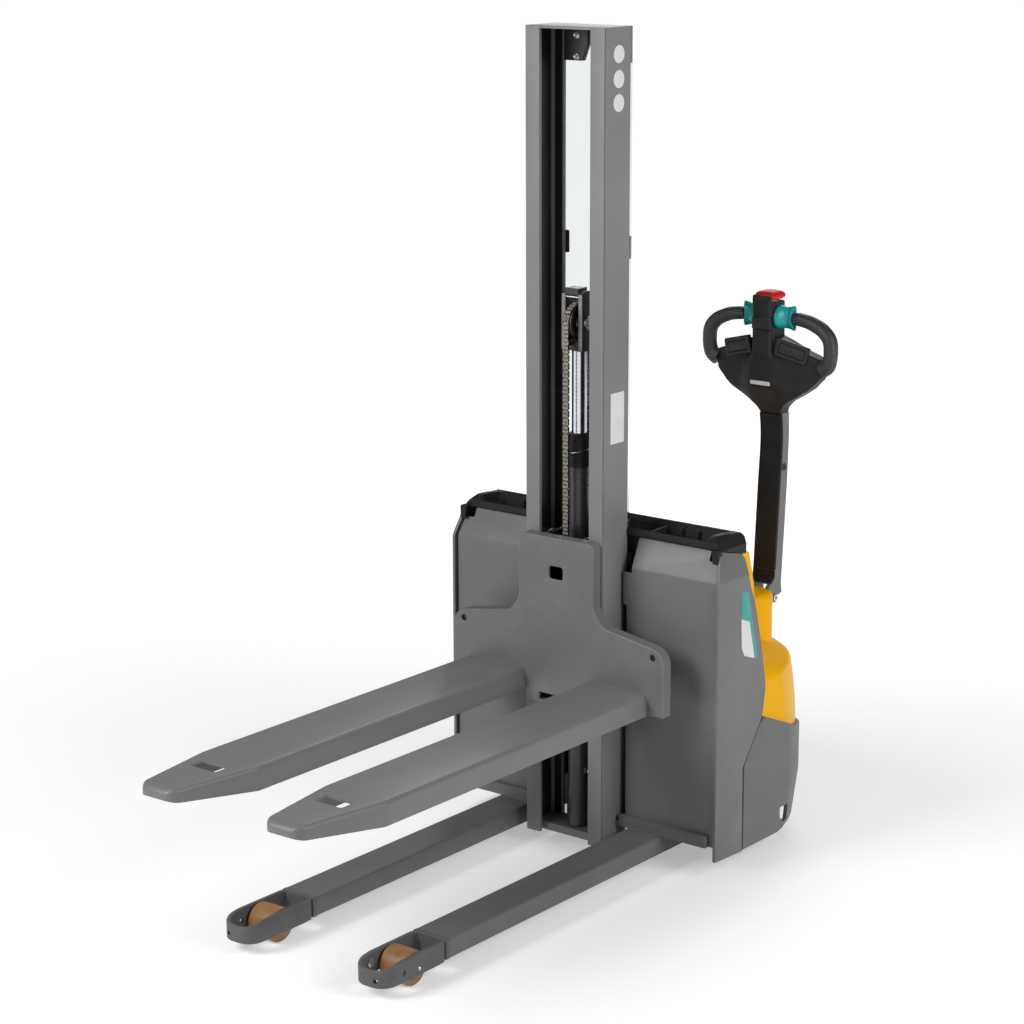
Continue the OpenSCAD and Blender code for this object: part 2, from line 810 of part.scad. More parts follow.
module drive_wheel() {
    color("#b07a45") in_place() difference() {
        union() {
            bar_x(drive_x - drive_w / 2, drive_x + drive_w / 2, drive_y, drive_r, drive_r - 4);
            bar_x(drive_x - drive_w / 2 + 4, drive_x + drive_w / 2 - 4, drive_y, drive_r, drive_r);
        }
        bar_x(drive_x - drive_w, drive_x + drive_w, drive_y, drive_r, 15 + run_gap);
    }
}

module drive_motor() {
    color("#2f3133") in_place() {
        post(drive_x, drive_y, ring_top + 4, shelf_z - 22, 62);
        post(drive_x, drive_y, shelf_z - 22, dome_z, column_r);
    }
}

// Half profile of the steering dome, as radius and height
dome_profile = concat([[0, dome_z], [dome_r, dome_z]],
    [for (a = [0 : 15 : 90]) [dome_r * cos(a), 560 + (dome_top - 560) * sin(a)]]);

module dome_solid() {
    translate([drive_x, drive_y, 0]) rotate_extrude() polygon(dome_profile);
}

module steering_dome() {
    color("#2b2b2b") in_place() dome_solid();
}

module tiller_bracket() {
    color("#2b2b2b") in_place() difference() {
        union() {
            side_slab(drive_x - 20, drive_x + 20, [[500, pin_z - 28], [pin_y - 8, pin_z - 14],
                [pin_y, pin_z - 14], [pin_y, pin_z + 14], [pin_y - 8, pin_z + 14], [500, pin_z + 22]]);
            bar_x(drive_x - 20, drive_x + 20, pin_y, pin_z, 14);
            bar_x(drive_x - arm_w / 2 - 2.5, drive_x + arm_w / 2 + 2.5, pin_y, pin_z, pin_r);
        }
        dome_solid();
    }
}

// Tiller
// Front edge of the arm, moved back by inset, from the knuckle to the head
function arm_front(inset) = [[542.7 + inset, 640], [557 + inset, 864], [564 + inset, 972], [558 + inset, head_z]];
function arm_rear(inset) = [[595 - inset, head_z], [597 - inset, 975], [593 - inset, 861], [577 - inset, 640]];

module tiller_arm() {
    x0 = drive_x - arm_w / 2;
    x1 = drive_x + arm_w / 2;
    color("#4a4a4a") in_place() difference() {
        union() {
            difference() {
                side_slab(x0, x1, concat(arm_front(4), arm_rear(0)));
                side_slab(x0 + arm_wall, x1 - arm_wall, concat([[500, 644]], [[500, head_z - 4]],
                    [[595 - arm_wall, head_z - 4]], [[597 - arm_wall, 975]], [[593 - arm_wall, 861]],
                    [[577 - arm_wall, 644]]));
            }
            side_slab(x0, x1, [[542.7, 640], [541, 621], [525, 607], [574, 602], [577, 640]]);
            for (x = [x0, x1 - 10]) {
                side_slab(x, x + 10, [[541, 621], [518, 600], [517, 587], [532, 580], [536, pin_z],
                    [560, pin_z], [561, 572], [578, 577], [574, 600], [574, 621]]);
                bar_x(x, x + 10, pin_y, pin_z, 13);
            }
        }
        bar_x(x0 - 1, x1 + 1, pin_y, pin_z, pin_r + run_gap);
    }
}

module tiller_cover() {
    color("#242424") in_place() side_slab(drive_x - arm_w / 2, drive_x + arm_w / 2,
        concat(arm_front(0), [for (i = [3 : -1 : 0]) arm_front(4)[i]]));
}

// Outer outline of half the control head, from the arm to the upper end of the side plate
head_half = [[32, head_z], [36, 1049], [53, 1066], [88, 1085], [117, 1105], [150, 1133], [150, 1181],
             [103, 1197], [50, 1219], [27, 1226]];

module rocker_place(side) {
    translate([drive_x, 0, 0]) mirror([side < 0 ? 1 : 0, 0, 0])
        translate(rocker_at) rotate([0, rocker_tilt, rocker_turn]) children();
}

module control_head() {
    left = [for (i = [len(head_half) - 1 : -1 : 0]) [-head_half[i][0], head_half[i][1]]];
    color("#2b2b2b") in_place() difference() {
        union() {
            side_slab(drive_x - neck_half, drive_x + neck_half, [[558, head_z], [512, 1105], [508, 1120],
                [507, neck_top], [578, neck_top], [583, 1130], [590, 1080], [595, head_z]]);
            translate([drive_x, 0, 0]) intersection() {
                front_slab(500, 600, concat(head_half, left));
                plan_slab(1000, 1300, [[-27, 519], [27, 519], [150, 544], [150, 579], [-150, 579],
                    [-150, 544]]);
                side_slab(-200, 200, [[558, head_z], [519, 1095], [519, 1240], [579, 1240], [579, 1130],
                    [579, head_z]]);
            }
            translate([drive_x, 0, 0]) both_sides() bar_x(neck_half - 1, 70, grip_y, bar_z, core_r);
        }
        block([drive_x - 24 - button_gap, 500, bar_z - 47 - button_gap],
              [drive_x + 24 + button_gap, horn_back + horn_travel + 0.2, bar_z + 2 + button_gap]);
        block([drive_x - 23, 511.5, belly_floor], [drive_x + 23, 573.5, neck_top + 1]);
        for (side = [-1, 1]) rocker_place(side)
            block([-rocker_l / 2 - 0.8, -30, -rocker_h / 2 - 0.8], [rocker_l / 2 + 0.8, 7.5, rocker_h / 2 + 0.8]);
    }
}

// Points along the middle of a grip, from the throttle wing round to the head's side
grip_path = [[70, 0], [92, -2], [115, -6], [134, -13], [150, -21], [162, -30], [171, -41], [176, -54],
             [177, -67], [177, -82], [174, -96], [167, -109], [150, -119]];

// Ring of a grip round point i of its path
function grip_ring(i) = let (last = len(grip_path) - 1, p = grip_path[i],
    t = i == 0 ? [1, 0] : i == last ? [-1, 0] : grip_path[i + 1] - grip_path[i - 1], u = t / norm(t))
    [for (a = [0 : 22.5 : 337.5]) [p[0] + grip_r * cos(a) * u[1], grip_y + grip_r * sin(a),
                                   bar_z + p[1] - grip_r * cos(a) * u[0]]];

module handle_grips() {
    color("#3a3a3a") in_place() translate([drive_x, 0, 0]) both_sides()
        skin([for (i = [0 : len(grip_path) - 1]) grip_ring(i)]);
}

module horn_button() {
    color("#2b2b2b") in_place()
        block([drive_x - 24, 504, bar_z - 47], [drive_x + 24, horn_back, bar_z + 2]);
}

module belly_button() {
    color("#d8150f") in_place()
        block([drive_x - 23 + button_gap, 511.5 + button_gap, belly_floor + belly_travel + 0.5],
              [drive_x + 23 - button_gap, 573.5 - button_gap, belly_top]);
}

module butterfly_switch() {
    color("#1fa5a5") in_place() translate([drive_x, 0, 0]) both_sides() difference() {
        bar_x(neck_half + 1, 65, grip_y, bar_z, wing_r);
        bar_x(neck_half, 66, grip_y, bar_z, core_r + run_gap);
    }
}

module rocker() {
    block([-rocker_l / 2, -4, -rocker_h / 2], [rocker_l / 2, rocker_t - 4, rocker_h / 2]);
    cylinder(h = rocker_h + 1, r = 2.5, center = true);
}

module rocker_left() {
    color("#333333") in_place() rocker_place(-1) rocker();
}

module rocker_right() {
    color("#333333") in_place() rocker_place(1) rocker();
}

// Castor
module castor_mount() {
    color("#6b6b6b") in_place() difference() {
        post(-drive_x, drive_y, deck_z - 75, deck_z, 42);
        post(-drive_x, drive_y, deck_z - 76, deck_z + 1, stub_r + run_gap);
    }
}

module castor_fork() {
    crown = 2 * castor_r + 12;
    color("#54585b") in_place() {
        post(-drive_x, drive_y, crown + 12, deck_top, stub_r);
        translate([-drive_x, 0, 0]) {
            block([-40, drive_y - castor_trail - 22, crown], [40, drive_y + 24, crown + 12]);
            post(0, drive_y, crown + 12, deck_z - 75.5, 30);
            difference() {
                both_sides() side_slab(castor_w / 2 + 4, castor_w / 2 + 12, [
                    [drive_y - castor_trail - 14, castor_r - 14], [drive_y - castor_trail + 14, castor_r - 14],
                    [drive_y + 22, crown], [drive_y - castor_trail - 20, crown]]);
                bar_x(-60, 60, drive_y - castor_trail, castor_r, load_axle_r);
            }
            bar_x(-castor_w / 2 - 12, castor_w / 2 + 12, drive_y - castor_trail, castor_r, load_axle_r);
        }
    }
}

module castor_wheel() {
    color("#b07a45") in_place() difference() {
        union() {
            bar_x(-drive_x - castor_w / 2, -drive_x + castor_w / 2, drive_y - castor_trail, castor_r, castor_r - 3);
            bar_x(-drive_x - castor_w / 2 + 3, -drive_x + castor_w / 2 - 3, drive_y - castor_trail, castor_r,
                  castor_r);
        }
        bar_x(-drive_x - 60, -drive_x + 60, drive_y - castor_trail, castor_r, load_axle_r + run_gap);
    }
}

// Switches on the rear cover
module emergency_stop() {
    color("#d8150f") in_place() {
        post(stop_at[0], stop_at[1], shelf_z - 12, shelf_z + 13, 8);
        post(stop_at[0], stop_at[1], shelf_z + 13, shelf_z + 26, 20);
    }
}

module key_switch() {
    color("#b8bbbd") in_place() {
        post(key_at[0], key_at[1], shelf_z - 14, shelf_z + 8, 11);
        block([key_at[0] - 12, key_at[1] - 1.5, shelf_z + 8], [key_at[0] + 12, key_at[1] + 1.5, shelf_z + 34]);
    }
}

base_frame();
support_leg_left();
support_leg_right();
leg_tips();
load_wheel_axles();
side_plate_left();
side_plate_right();
front_panel_left();
front_panel_right();
rear_bumper();
rear_cover();
storage_tray();
mast_profile_left();
mast_profile_right();
mast_top_plate();
mast_crossbars();
stop_block();
mast_guard();
lift_cylinder();
cylinder_gland();
battery();
pump_unit();
motor_controller();
hydraulic_pipe();
slewing_ring();
castor_mount();
carriage_plate();
roller_carriers();
fork_left();
fork_right();
piston_rod();
sheave_bracket();
sheave_pin();
lift_chain_front();
lift_chain_rear();
chain_sheave();
roller_upper_left();
roller_upper_right();
roller_lower_left();
roller_lower_right();
load_wheel_left();
load_wheel_right();
steering_dome();
drive_gearbox();
drive_motor();
tiller_bracket();
drive_wheel();
tiller_arm();
tiller_cover();
control_head();
handle_grips();
horn_button();
belly_button();
butterfly_switch();
rocker_left();
rocker_right();
castor_fork();
castor_wheel();
emergency_stop();
key_switch();
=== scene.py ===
"""Looks of an electric stacker: forks and mast on two straddle legs, a steered drive unit and a tiller.

Sizes are in millimetres, y counts from the mast's front face, and place() turns them into the frame."""
import math

import bmesh
import bpy
import numpy as np
from mathutils import Matrix, Vector
from mathutils.geometry import delaunay_2d_cdt


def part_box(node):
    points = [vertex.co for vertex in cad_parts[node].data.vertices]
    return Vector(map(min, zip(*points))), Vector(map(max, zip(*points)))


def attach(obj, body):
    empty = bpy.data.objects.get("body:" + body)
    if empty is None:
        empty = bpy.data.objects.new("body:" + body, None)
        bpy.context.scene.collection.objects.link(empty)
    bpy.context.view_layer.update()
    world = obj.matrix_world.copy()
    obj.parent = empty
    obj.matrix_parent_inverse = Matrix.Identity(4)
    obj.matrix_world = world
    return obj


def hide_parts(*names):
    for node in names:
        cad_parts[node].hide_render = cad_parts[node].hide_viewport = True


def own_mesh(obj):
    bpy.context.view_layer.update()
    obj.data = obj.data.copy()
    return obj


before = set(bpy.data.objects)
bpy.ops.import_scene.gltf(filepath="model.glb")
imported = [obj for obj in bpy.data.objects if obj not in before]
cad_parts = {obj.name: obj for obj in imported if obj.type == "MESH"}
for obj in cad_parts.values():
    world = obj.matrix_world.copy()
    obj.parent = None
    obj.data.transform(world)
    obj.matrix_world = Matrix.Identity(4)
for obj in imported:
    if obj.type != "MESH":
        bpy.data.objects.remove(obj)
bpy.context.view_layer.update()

# Camera. The photograph was taken from ahead of the fork tips and to the machine's right, at about head
# height, with a long lens; its place, turn and lens come from the known sizes of mast, legs and body.
YAW, PITCH, ROLL = math.radians(38.368), math.radians(-13.685), math.radians(-0.194)
CAMERA_AT = Vector((3.69499, -4.59133, 2.34489))
LENS_MM = 93.213

ahead = Vector((-math.sin(YAW) * math.cos(PITCH), math.cos(YAW) * math.cos(PITCH), math.sin(PITCH)))
level = Vector((math.cos(YAW), math.sin(YAW), 0))
over = level.cross(ahead)
right = math.cos(ROLL) * level + math.sin(ROLL) * over
upward = math.cos(ROLL) * over - math.sin(ROLL) * level
camera = bpy.data.objects.new("camera", bpy.data.cameras.new("camera"))
camera.data.sensor_width = 36
camera.data.lens = LENS_MM
camera.data.clip_end = 200
camera.matrix_world = Matrix.Translation(CAMERA_AT) @ Matrix((right, upward, -ahead)).transposed().to_4x4()
bpy.context.scene.collection.objects.link(camera)
bpy.context.scene.camera = camera
bpy.context.scene.view_settings.view_transform = "Standard"


# Studio. A white paper floor that runs out of sight and glows more the further it lies from the machine, and
# soft lamps: one high ahead, one ahead at the mast's height, one at the right side and one behind.
FLOOR_REACH, FLOOR_CELLS = 60.0, 12
FLOOR_WHITE, GLOW_NEAR, GLOW_FAR = "#E8E8E8", 0.38, 0.90
GLOW_FROM, GLOW_TO = 1.3, 5.0
ROOM_WHITE, ROOM_LIGHT = "#F4F6F8", 0.16
LAMPS = (("key_softbox", (-1.6, -3.6, 3.6), (0.1, 0.2, 1.35), 2.3, 92),
         ("mast_softbox", (-0.9, -2.9, 2.2), (0.0, 0.3, 1.6), 1.6, 42),
         ("side_softbox", (3.6, 0.2, 2.2), (0.3, 0.4, 1.2), 2.2, 80),
         ("back_softbox", (-1.8, 4.2, 3.2), (0.0, 0.6, 0.8), 2.6, 66))


def linear(code):
    """Linear colour of an sRGB hex code: c / 12.92 up to 0.04045, else ((c + 0.055) / 1.055) ** 2.4."""
    srgb = [int(code[i:i + 2], 16) / 255 for i in (1, 3, 5)]
    return [c / 12.92 if c <= 0.04045 else ((c + 0.055) / 1.055) ** 2.4 for c in srgb] + [1.0]


def add(tree, kind, inputs=(), **settings):
    """Adds a node: settings are its properties, inputs maps its sockets to values or to other nodes'
    outputs."""
    made = tree.nodes.new(kind)
    for key, value in settings.items():
        setattr(made, key, value)
    for key, value in dict(inputs).items():
        if isinstance(value, bpy.types.NodeSocket):
            tree.links.new(value, made.inputs[key])
        else:
            made.inputs[key].default_value = value
    return made


def paper_floor():
    """Matt white paper. For the camera and for mirrors it also glows a little, so that it reads as white."""
    made = bpy.data.materials.new("matt_white_paper")
    made.use_nodes = True
    tree = made.node_tree
    tree.nodes.clear()
    fibre = add(tree, "ShaderNodeTexNoise", {"Vector": add(tree, "ShaderNodeTexCoord").outputs["Object"],
                                             "Scale": 40.0, "Detail": 2.0})
    bump = add(tree, "ShaderNodeBump", {"Height": fibre.outputs["Fac"], "Strength": 0.05, "Distance": 0.0005})
    paper = add(tree, "ShaderNodeBsdfDiffuse", {"Color": linear(FLOOR_WHITE),
                                                "Normal": bump.outputs["Normal"]})
    away = add(tree, "ShaderNodeVectorMath", {0: add(tree, "ShaderNodeTexCoord").outputs["Object"]},
               operation="LENGTH")
    rise = add(tree, "ShaderNodeMapRange", {"Value": away.outputs["Value"], "From Min": GLOW_FROM,
                                            "From Max": GLOW_TO, "To Min": GLOW_NEAR, "To Max": GLOW_FAR})
    glow = add(tree, "ShaderNodeEmission", {"Color": linear("#FFFFFF"), "Strength": rise.outputs[0]})
    lit = add(tree, "ShaderNodeAddShader", {0: paper.outputs[0], 1: glow.outputs[0]})
    path = add(tree, "ShaderNodeLightPath")
    seen = add(tree, "ShaderNodeMath", {0: path.outputs["Is Camera Ray"], 1: path.outputs["Is Glossy Ray"]},
               operation="MAXIMUM")
    seen = add(tree, "ShaderNodeMath", {0: seen.outputs[0], 1: path.outputs["Is Transmission Ray"]},
               operation="MAXIMUM")
    both = add(tree, "ShaderNodeMixShader", {0: seen.outputs[0], 1: paper.outputs[0], 2: lit.outputs[0]})
    add(tree, "ShaderNodeOutputMaterial", {"Surface": both.outputs[0]})
    return made


row = FLOOR_CELLS + 1
steps = np.linspace(-FLOOR_REACH, FLOOR_REACH, row)
grid = np.stack(np.meshgrid(steps, steps, [0.0], indexing="ij"), -1).reshape(-1, 3)
first = (np.arange(FLOOR_CELLS)[:, None] * row + np.arange(FLOOR_CELLS)).ravel()
sheet = bpy.data.meshes.new("paper_floor")
sheet.from_pydata(grid, [], np.stack([first, first + row, first + row + 1, first + 1], -1).tolist())
sheet.materials.append(paper_floor())
floor = bpy.data.objects.new("paper_floor", sheet)
bpy.context.scene.collection.objects.link(floor)

world = bpy.data.worlds.new("white_room")
world.use_nodes = True
world.node_tree.nodes.clear()
path = add(world.node_tree, "ShaderNodeLightPath")
seen = add(world.node_tree, "ShaderNodeMath", {0: path.outputs["Is Camera Ray"],
                                               1: path.outputs["Is Transmission Ray"]}, operation="MAXIMUM")
dim = add(world.node_tree, "ShaderNodeBackground", {"Color": linear(ROOM_WHITE), "Strength": ROOM_LIGHT})
white = add(world.node_tree, "ShaderNodeBackground", {"Color": linear("#FFFFFF"), "Strength": 1.0})
both = add(world.node_tree, "ShaderNodeMixShader", {0: seen.outputs[0], 1: dim.outputs[0],
                                                    2: white.outputs[0]})
add(world.node_tree, "ShaderNodeOutputWorld", {"Surface": both.outputs[0]})
bpy.context.scene.world = world

for name, at, towards, size, watts in LAMPS:
    lamp = bpy.data.lights.new(name, "AREA")
    lamp.shape = "SQUARE"
    lamp.size = size
    lamp.energy = watts
    made = bpy.data.objects.new(name, lamp)
    made.matrix_world = (Matrix.Translation(at)
                         @ (Vector(towards) - Vector(at)).to_track_quat("-Z", "Y").to_matrix().to_4x4())
    bpy.context.scene.collection.objects.link(made)


# Straddle legs. Two rectangular steel tubes that lie under the forks and carry the front of the machine;
# cut, welded to the base frame and powder coated in the machine's satin grey.
FRONT_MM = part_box("mast_profile_right")[0].y * 1000
LEG_IN, LEG_OUT, LEG_LOW, LEG_TOP = 147.0, 244.0, 32.0, 79.0
LEG_FRONT, LEG_BACK = -729.0, 262.0
LEG_WALL, LEG_CORNER = 6.0, 5.0
# The legs' grey is darker than the mast's: painted shade for the legs lying low under the forks.
STEEL_SHADED_GREY, STEEL_SHADED_GREY_DRIFT = "#6C6C6D", "#636364"


def finish(name, tone, drift, rough, grain_mm, depth_mm, patch_mm=140.0, stretch=(1, 1, 1), spread=0.05,
           **shader):
    """One surface: tone drifts to a second colour over patch_mm, roughness varies by spread, and a grain of
    grain_mm stands depth_mm high. stretch draws the patterns out along an axis, shader sets the rest."""
    made = bpy.data.materials.new(name)
    made.use_nodes = True
    tree = made.node_tree
    tree.nodes.clear()
    place_in = add(tree, "ShaderNodeMapping", {"Vector": add(tree, "ShaderNodeTexCoord").outputs["Object"],
                                               "Scale": stretch})
    patch = add(tree, "ShaderNodeTexNoise", {"Vector": place_in.outputs[0], "Scale": 1000 / patch_mm,
                                             "Detail": 4.0, "Roughness": 0.6})
    grain = add(tree, "ShaderNodeTexNoise", {"Vector": place_in.outputs[0], "Scale": 1000 / grain_mm,
                                             "Detail": 2.0})
    share = add(tree, "ShaderNodeMapRange", {"Value": patch.outputs["Fac"], "From Min": 0.3, "From Max": 0.7})
    colour = add(tree, "ShaderNodeMix", {"Factor": share.outputs[0], 6: linear(tone), 7: linear(drift)},
                 data_type="RGBA")
    sheen = add(tree, "ShaderNodeMath", {0: grain.outputs["Fac"], 1: patch.outputs["Fac"]},
                operation="MULTIPLY")
    gloss = add(tree, "ShaderNodeMapRange", {"Value": sheen.outputs[0], "From Min": 0.1, "From Max": 0.4,
                                             "To Min": rough - spread, "To Max": rough + spread})
    bump = add(tree, "ShaderNodeBump", {"Height": grain.outputs["Fac"], "Strength": 1.0,
                                        "Distance": depth_mm / 1000})
    body = add(tree, "ShaderNodeBsdfPrincipled", {"Base Color": colour.outputs[2],
                                                  "Roughness": gloss.outputs[0],
                                                  "Normal": bump.outputs["Normal"], **shader})
    add(tree, "ShaderNodeOutputMaterial", {"Surface": body.outputs[0]})
    return made


# Powder coat on steel, sprayed dry and baked: an even satin grey with a faint orange peel, set darker than
# the mast's as painted shade for the low legs and frame. The peel's real 1.5 mm waves are drawn at 5 mm, so
# that they show.
POWDER_GREY_SHADED = finish("powder_coat_steel_painted_shade", STEEL_SHADED_GREY, STEEL_SHADED_GREY_DRIFT, 0.50, 5.0, 0.05)


def rounded(points, radius, count=5):
    """Closed outline with round corners: an arc of that radius touches both sides of each corner, and starts
    at most 45% along the shorter side."""
    p = np.asarray(points, float)
    back, on = np.roll(p, 1, 0) - p, np.roll(p, -1, 0) - p
    short = np.minimum(np.linalg.norm(back, axis=1), np.linalg.norm(on, axis=1))
    u = back / np.linalg.norm(back, axis=1)[:, None]
    v = on / np.linalg.norm(on, axis=1)[:, None]
    half = np.arccos(np.clip((u * v).sum(1), -0.99999, 1)) / 2
    reach = np.minimum(np.maximum(radius, 0.05) / np.tan(half), 0.45 * short)[:, None]
    middle = p + (u + v) / np.linalg.norm(u + v, axis=1)[:, None] * reach / np.cos(half)[:, None]
    start, end = p + u * reach - middle, p + v * reach - middle
    turn = (math.pi - 2 * half)[:, None]
    w = np.linspace(0, 1, count + 1)[:, None, None]
    arc = middle + (np.sin((1 - w) * turn) * start + np.sin(w * turn) * end) / np.sin(turn)
    return arc.transpose(1, 0, 2).reshape(-1, 2)


def rectangle(x0, x1, y0, y1):
    """The four corners, counter-clockwise."""
    return [(x0, y0), (x1, y0), (x1, y1), (x0, y1)]


def loft(rings, loop=False, caps=True, closed=True):
    """Skin through rings, an array of rings by points by 3: each face joins two neighbouring points of a ring
    with the same two of the next ring. loop joins the last ring to the first, else caps close both ends."""
    rings = np.asarray(rings, float)
    n, m, _ = rings.shape
    k = np.arange(n if loop else n - 1)[:, None]
    i = np.arange(m if closed else m - 1)[None, :]
    quads = np.stack([k * m + i, k * m + (i + 1) % m, (k + 1) % n * m + (i + 1) % m, (k + 1) % n * m + i], -1)
    faces = quads.reshape(-1, 4).tolist()
    if caps and closed and not loop:
        faces += [list(range(m))[::-1], list(range((n - 1) * m, n * m))]
    return rings.reshape(-1, 3), faces


def place(points):
    """Metres in the part's frame, from millimetres with y counted from the mast's front face."""
    return (np.asarray(points, float) + (0, FRONT_MM, 0)) / 1000


def piece(name, parts, material, body, nodes=(), sharp=32, solid=True):
    """One object of several (points, faces) parts: doubles are merged, faces turned outwards, and edges
    sharper than sharp degrees stay crisp. It rides on body and stands for the CAD nodes. solid is False for
    a sheet that gets its wall later, whose faces keep their side."""
    points, faces, start = [], [], 0
    for part, skin in parts:
        points.append(part)
        faces += [[i + start for i in face] for face in skin]
        start += len(part)
    mesh = bpy.data.meshes.new(name)
    mesh.from_pydata(place(np.concatenate(points)), [], faces)
    shell = bmesh.new()
    shell.from_mesh(mesh)
    bmesh.ops.remove_doubles(shell, verts=shell.verts, dist=2e-6)
    bmesh.ops.dissolve_degenerate(shell, edges=shell.edges, dist=1e-6)
    if solid:
        bmesh.ops.recalc_face_normals(shell, faces=shell.faces)
    shell.to_mesh(mesh)
    shell.free()
    mesh.polygons.foreach_set("use_smooth", np.ones(len(mesh.polygons), bool))
    mesh.set_sharp_from_angle(angle=math.radians(sharp))
    mesh.materials.append(material)
    made = bpy.data.objects.new(name, mesh)
    bpy.context.scene.collection.objects.link(made)
    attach(made, body)
    if nodes:
        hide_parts(*nodes)
    return made


def mirrored(part):
    """The same part on the other side: x changes sign and each face runs the other way round."""
    points, faces = part
    return points * (-1, 1, 1), [face[::-1] for face in faces]


SIDES = (("right", 1), ("left", -1))


def on_side(side, parts):
    """Parts made for the right side, as they are for side 1 and mirrored for side -1."""
    return parts if side > 0 else [mirrored(part) for part in parts]


def both_sides(parts):
    """The parts on the right side, then their mirror images on the left."""
    return [part for _, side in SIDES for part in on_side(side, parts)]


def pair(name, part, material, node, sharp=32):
    """The same part on both sides of the chassis, as two pieces that stand for the nodes of the two sides."""
    for tag, side in SIDES:
        piece(f"{name}_{tag}", on_side(side, [part]), material, "chassis", [f"{node}_{tag}"],
              sharp=sharp)


def circle(count):
    """Points (cos t, sin t) all round."""
    t = np.linspace(0, 2 * math.pi, count, endpoint=False)
    return np.stack([np.cos(t), np.sin(t)], 1)


def ring_at(outline, plane, height):
    """Outline of a plane's two axes as 3-D points at one height along the third axis."""
    first, second, third = {"xy": (0, 1, 2), "xz": (0, 2, 1), "yz": (1, 2, 0)}[plane]
    ring = np.empty((len(outline), 3))
    ring[:, first], ring[:, second], ring[:, third] = outline[:, 0], outline[:, 1], height
    return ring


tube_out = rounded(rectangle(LEG_IN, LEG_OUT, LEG_LOW, LEG_TOP), LEG_CORNER)
tube_in = rounded(rectangle(LEG_IN + LEG_WALL, LEG_OUT - LEG_WALL, LEG_LOW + LEG_WALL, LEG_TOP - LEG_WALL),
                  2.0)
tube = loft([ring_at(tube_out, "xz", LEG_FRONT), ring_at(tube_out, "xz", LEG_BACK),
             ring_at(tube_in, "xz", LEG_BACK), ring_at(tube_in, "xz", LEG_FRONT)], loop=True)
pair("leg_tube", tube, POWDER_GREY_SHADED, "support_leg")


# Leg tips. A casting welded to the end of each leg: a U-shaped wall round the load wheel with a sloping nose,
# painted with the leg, and drilled for the axle, for a cross hole and for a small hole in the nose.
TIP_WALL, TIP_NOSE, TIP_LOW, NOSE_TOP = 10.0, -946.0, 28.0, 66.0
NOSE_R, SLOPE_START, POCKET_END = 40.0, -896.0, -742.0
AXLE_Y, AXLE_Z, AXLE_R = -831.0, 40.0, 8.0
# The tips' grey is darker than the tubes': painted shade under the fork tips.
CAST_SHADED_GREY, CAST_SHADED_GREY_DRIFT = "#636364", "#585859"


def smooth(points, count):
    """Smooth line through points: on each span the cubic whose slope at a point is half the step between the
    point's neighbours."""
    p = np.asarray(points, float)
    q = np.vstack([2 * p[0] - p[1], p, 2 * p[-1] - p[-2]])
    t = np.linspace(0, len(p) - 1, count)
    i = np.minimum(t.astype(int), len(p) - 2)
    s = (t - i)[:, None]
    a, b, c, d = q[i], q[i + 1], q[i + 2], q[i + 3]
    return 0.5 * (2 * b + (c - a) * s + (2 * a - 5 * b + 4 * c - d) * s ** 2
                  + (3 * b - a - 3 * c + d) * s ** 3)


def turned(profile, centre, axis="x", count=48, loop=False):
    """Turned form: each (along, radius) of the profile is carried round an axis through centre, at
    centre + along * axis + radius * (cos t, sin t). loop closes a hollow profile on itself."""
    profile = np.asarray(profile, float)
    t = np.linspace(0, 2 * math.pi, count, endpoint=False)
    a = "xyz".index(axis)
    rings = np.zeros((len(profile), count, 3))
    rings[:, :, a] = profile[:, :1]
    rings[:, :, (a + 1) % 3] = profile[:, 1:] * np.cos(t)
    rings[:, :, (a + 2) % 3] = profile[:, 1:] * np.sin(t)
    return loft(rings + np.asarray(centre, float), loop=loop)


def inset(outline, depth):
    """Outline moved to its left by depth: each corner goes along the sum of its two sides' normals, over one
    plus their dot product."""
    step = np.roll(outline, -1, 0) - outline
    n = np.stack([-step[:, 1], step[:, 0]], 1) / np.linalg.norm(step, axis=1)[:, None]
    m = np.roll(n, 1, 0)
    return outline + depth * (n + m) / (1 + (n * m).sum(1))[:, None]


def fill(loops, creases=()):
    """Flat face inside the first loop and outside the others, as triangles: those of a triangulation that
    keeps every side, whose middles are crossed into an odd number of times. creases are extra sides."""
    corners, sides = [], []
    for loop in loops:
        n = len(loop)
        sides += [(len(corners) + i, len(corners) + (i + 1) % n) for i in range(n)]
        corners += [Vector(p) for p in loop]
    ring_sides = np.array([[corners[a], corners[b]] for a, b in sides])
    for crease in creases:
        sides.append((len(corners), len(corners) + 1))
        corners += [Vector(p) for p in crease]
    points, _, triangles = delaunay_2d_cdt(corners, sides, [], 0, 1e-5)[:3]
    points = np.array([tuple(p) for p in points])
    triangles = np.array(triangles)
    middle = points[triangles].mean(1)[:, None]
    a, b = ring_sides[None, :, 0], ring_sides[None, :, 1]
    spans = (a[..., 1] > middle[..., 1]) != (b[..., 1] > middle[..., 1])
    rise = np.where(a[..., 1] == b[..., 1], 1.0, b[..., 1] - a[..., 1])
    cross = a[..., 0] + (middle[..., 1] - a[..., 1]) * (b[..., 0] - a[..., 0]) / rise
    inside = (spans & (middle[..., 0] < cross)).sum(1) % 2 == 1
    return points, triangles[inside].tolist()


def turning_left(outline):
    """The outline counter-clockwise, by the sign of its area."""
    outline = np.asarray(outline, float)
    x, y = outline.T
    area = (x * np.roll(y, -1) - np.roll(x, -1) * y).sum()
    return outline if area > 0 else outline[::-1]


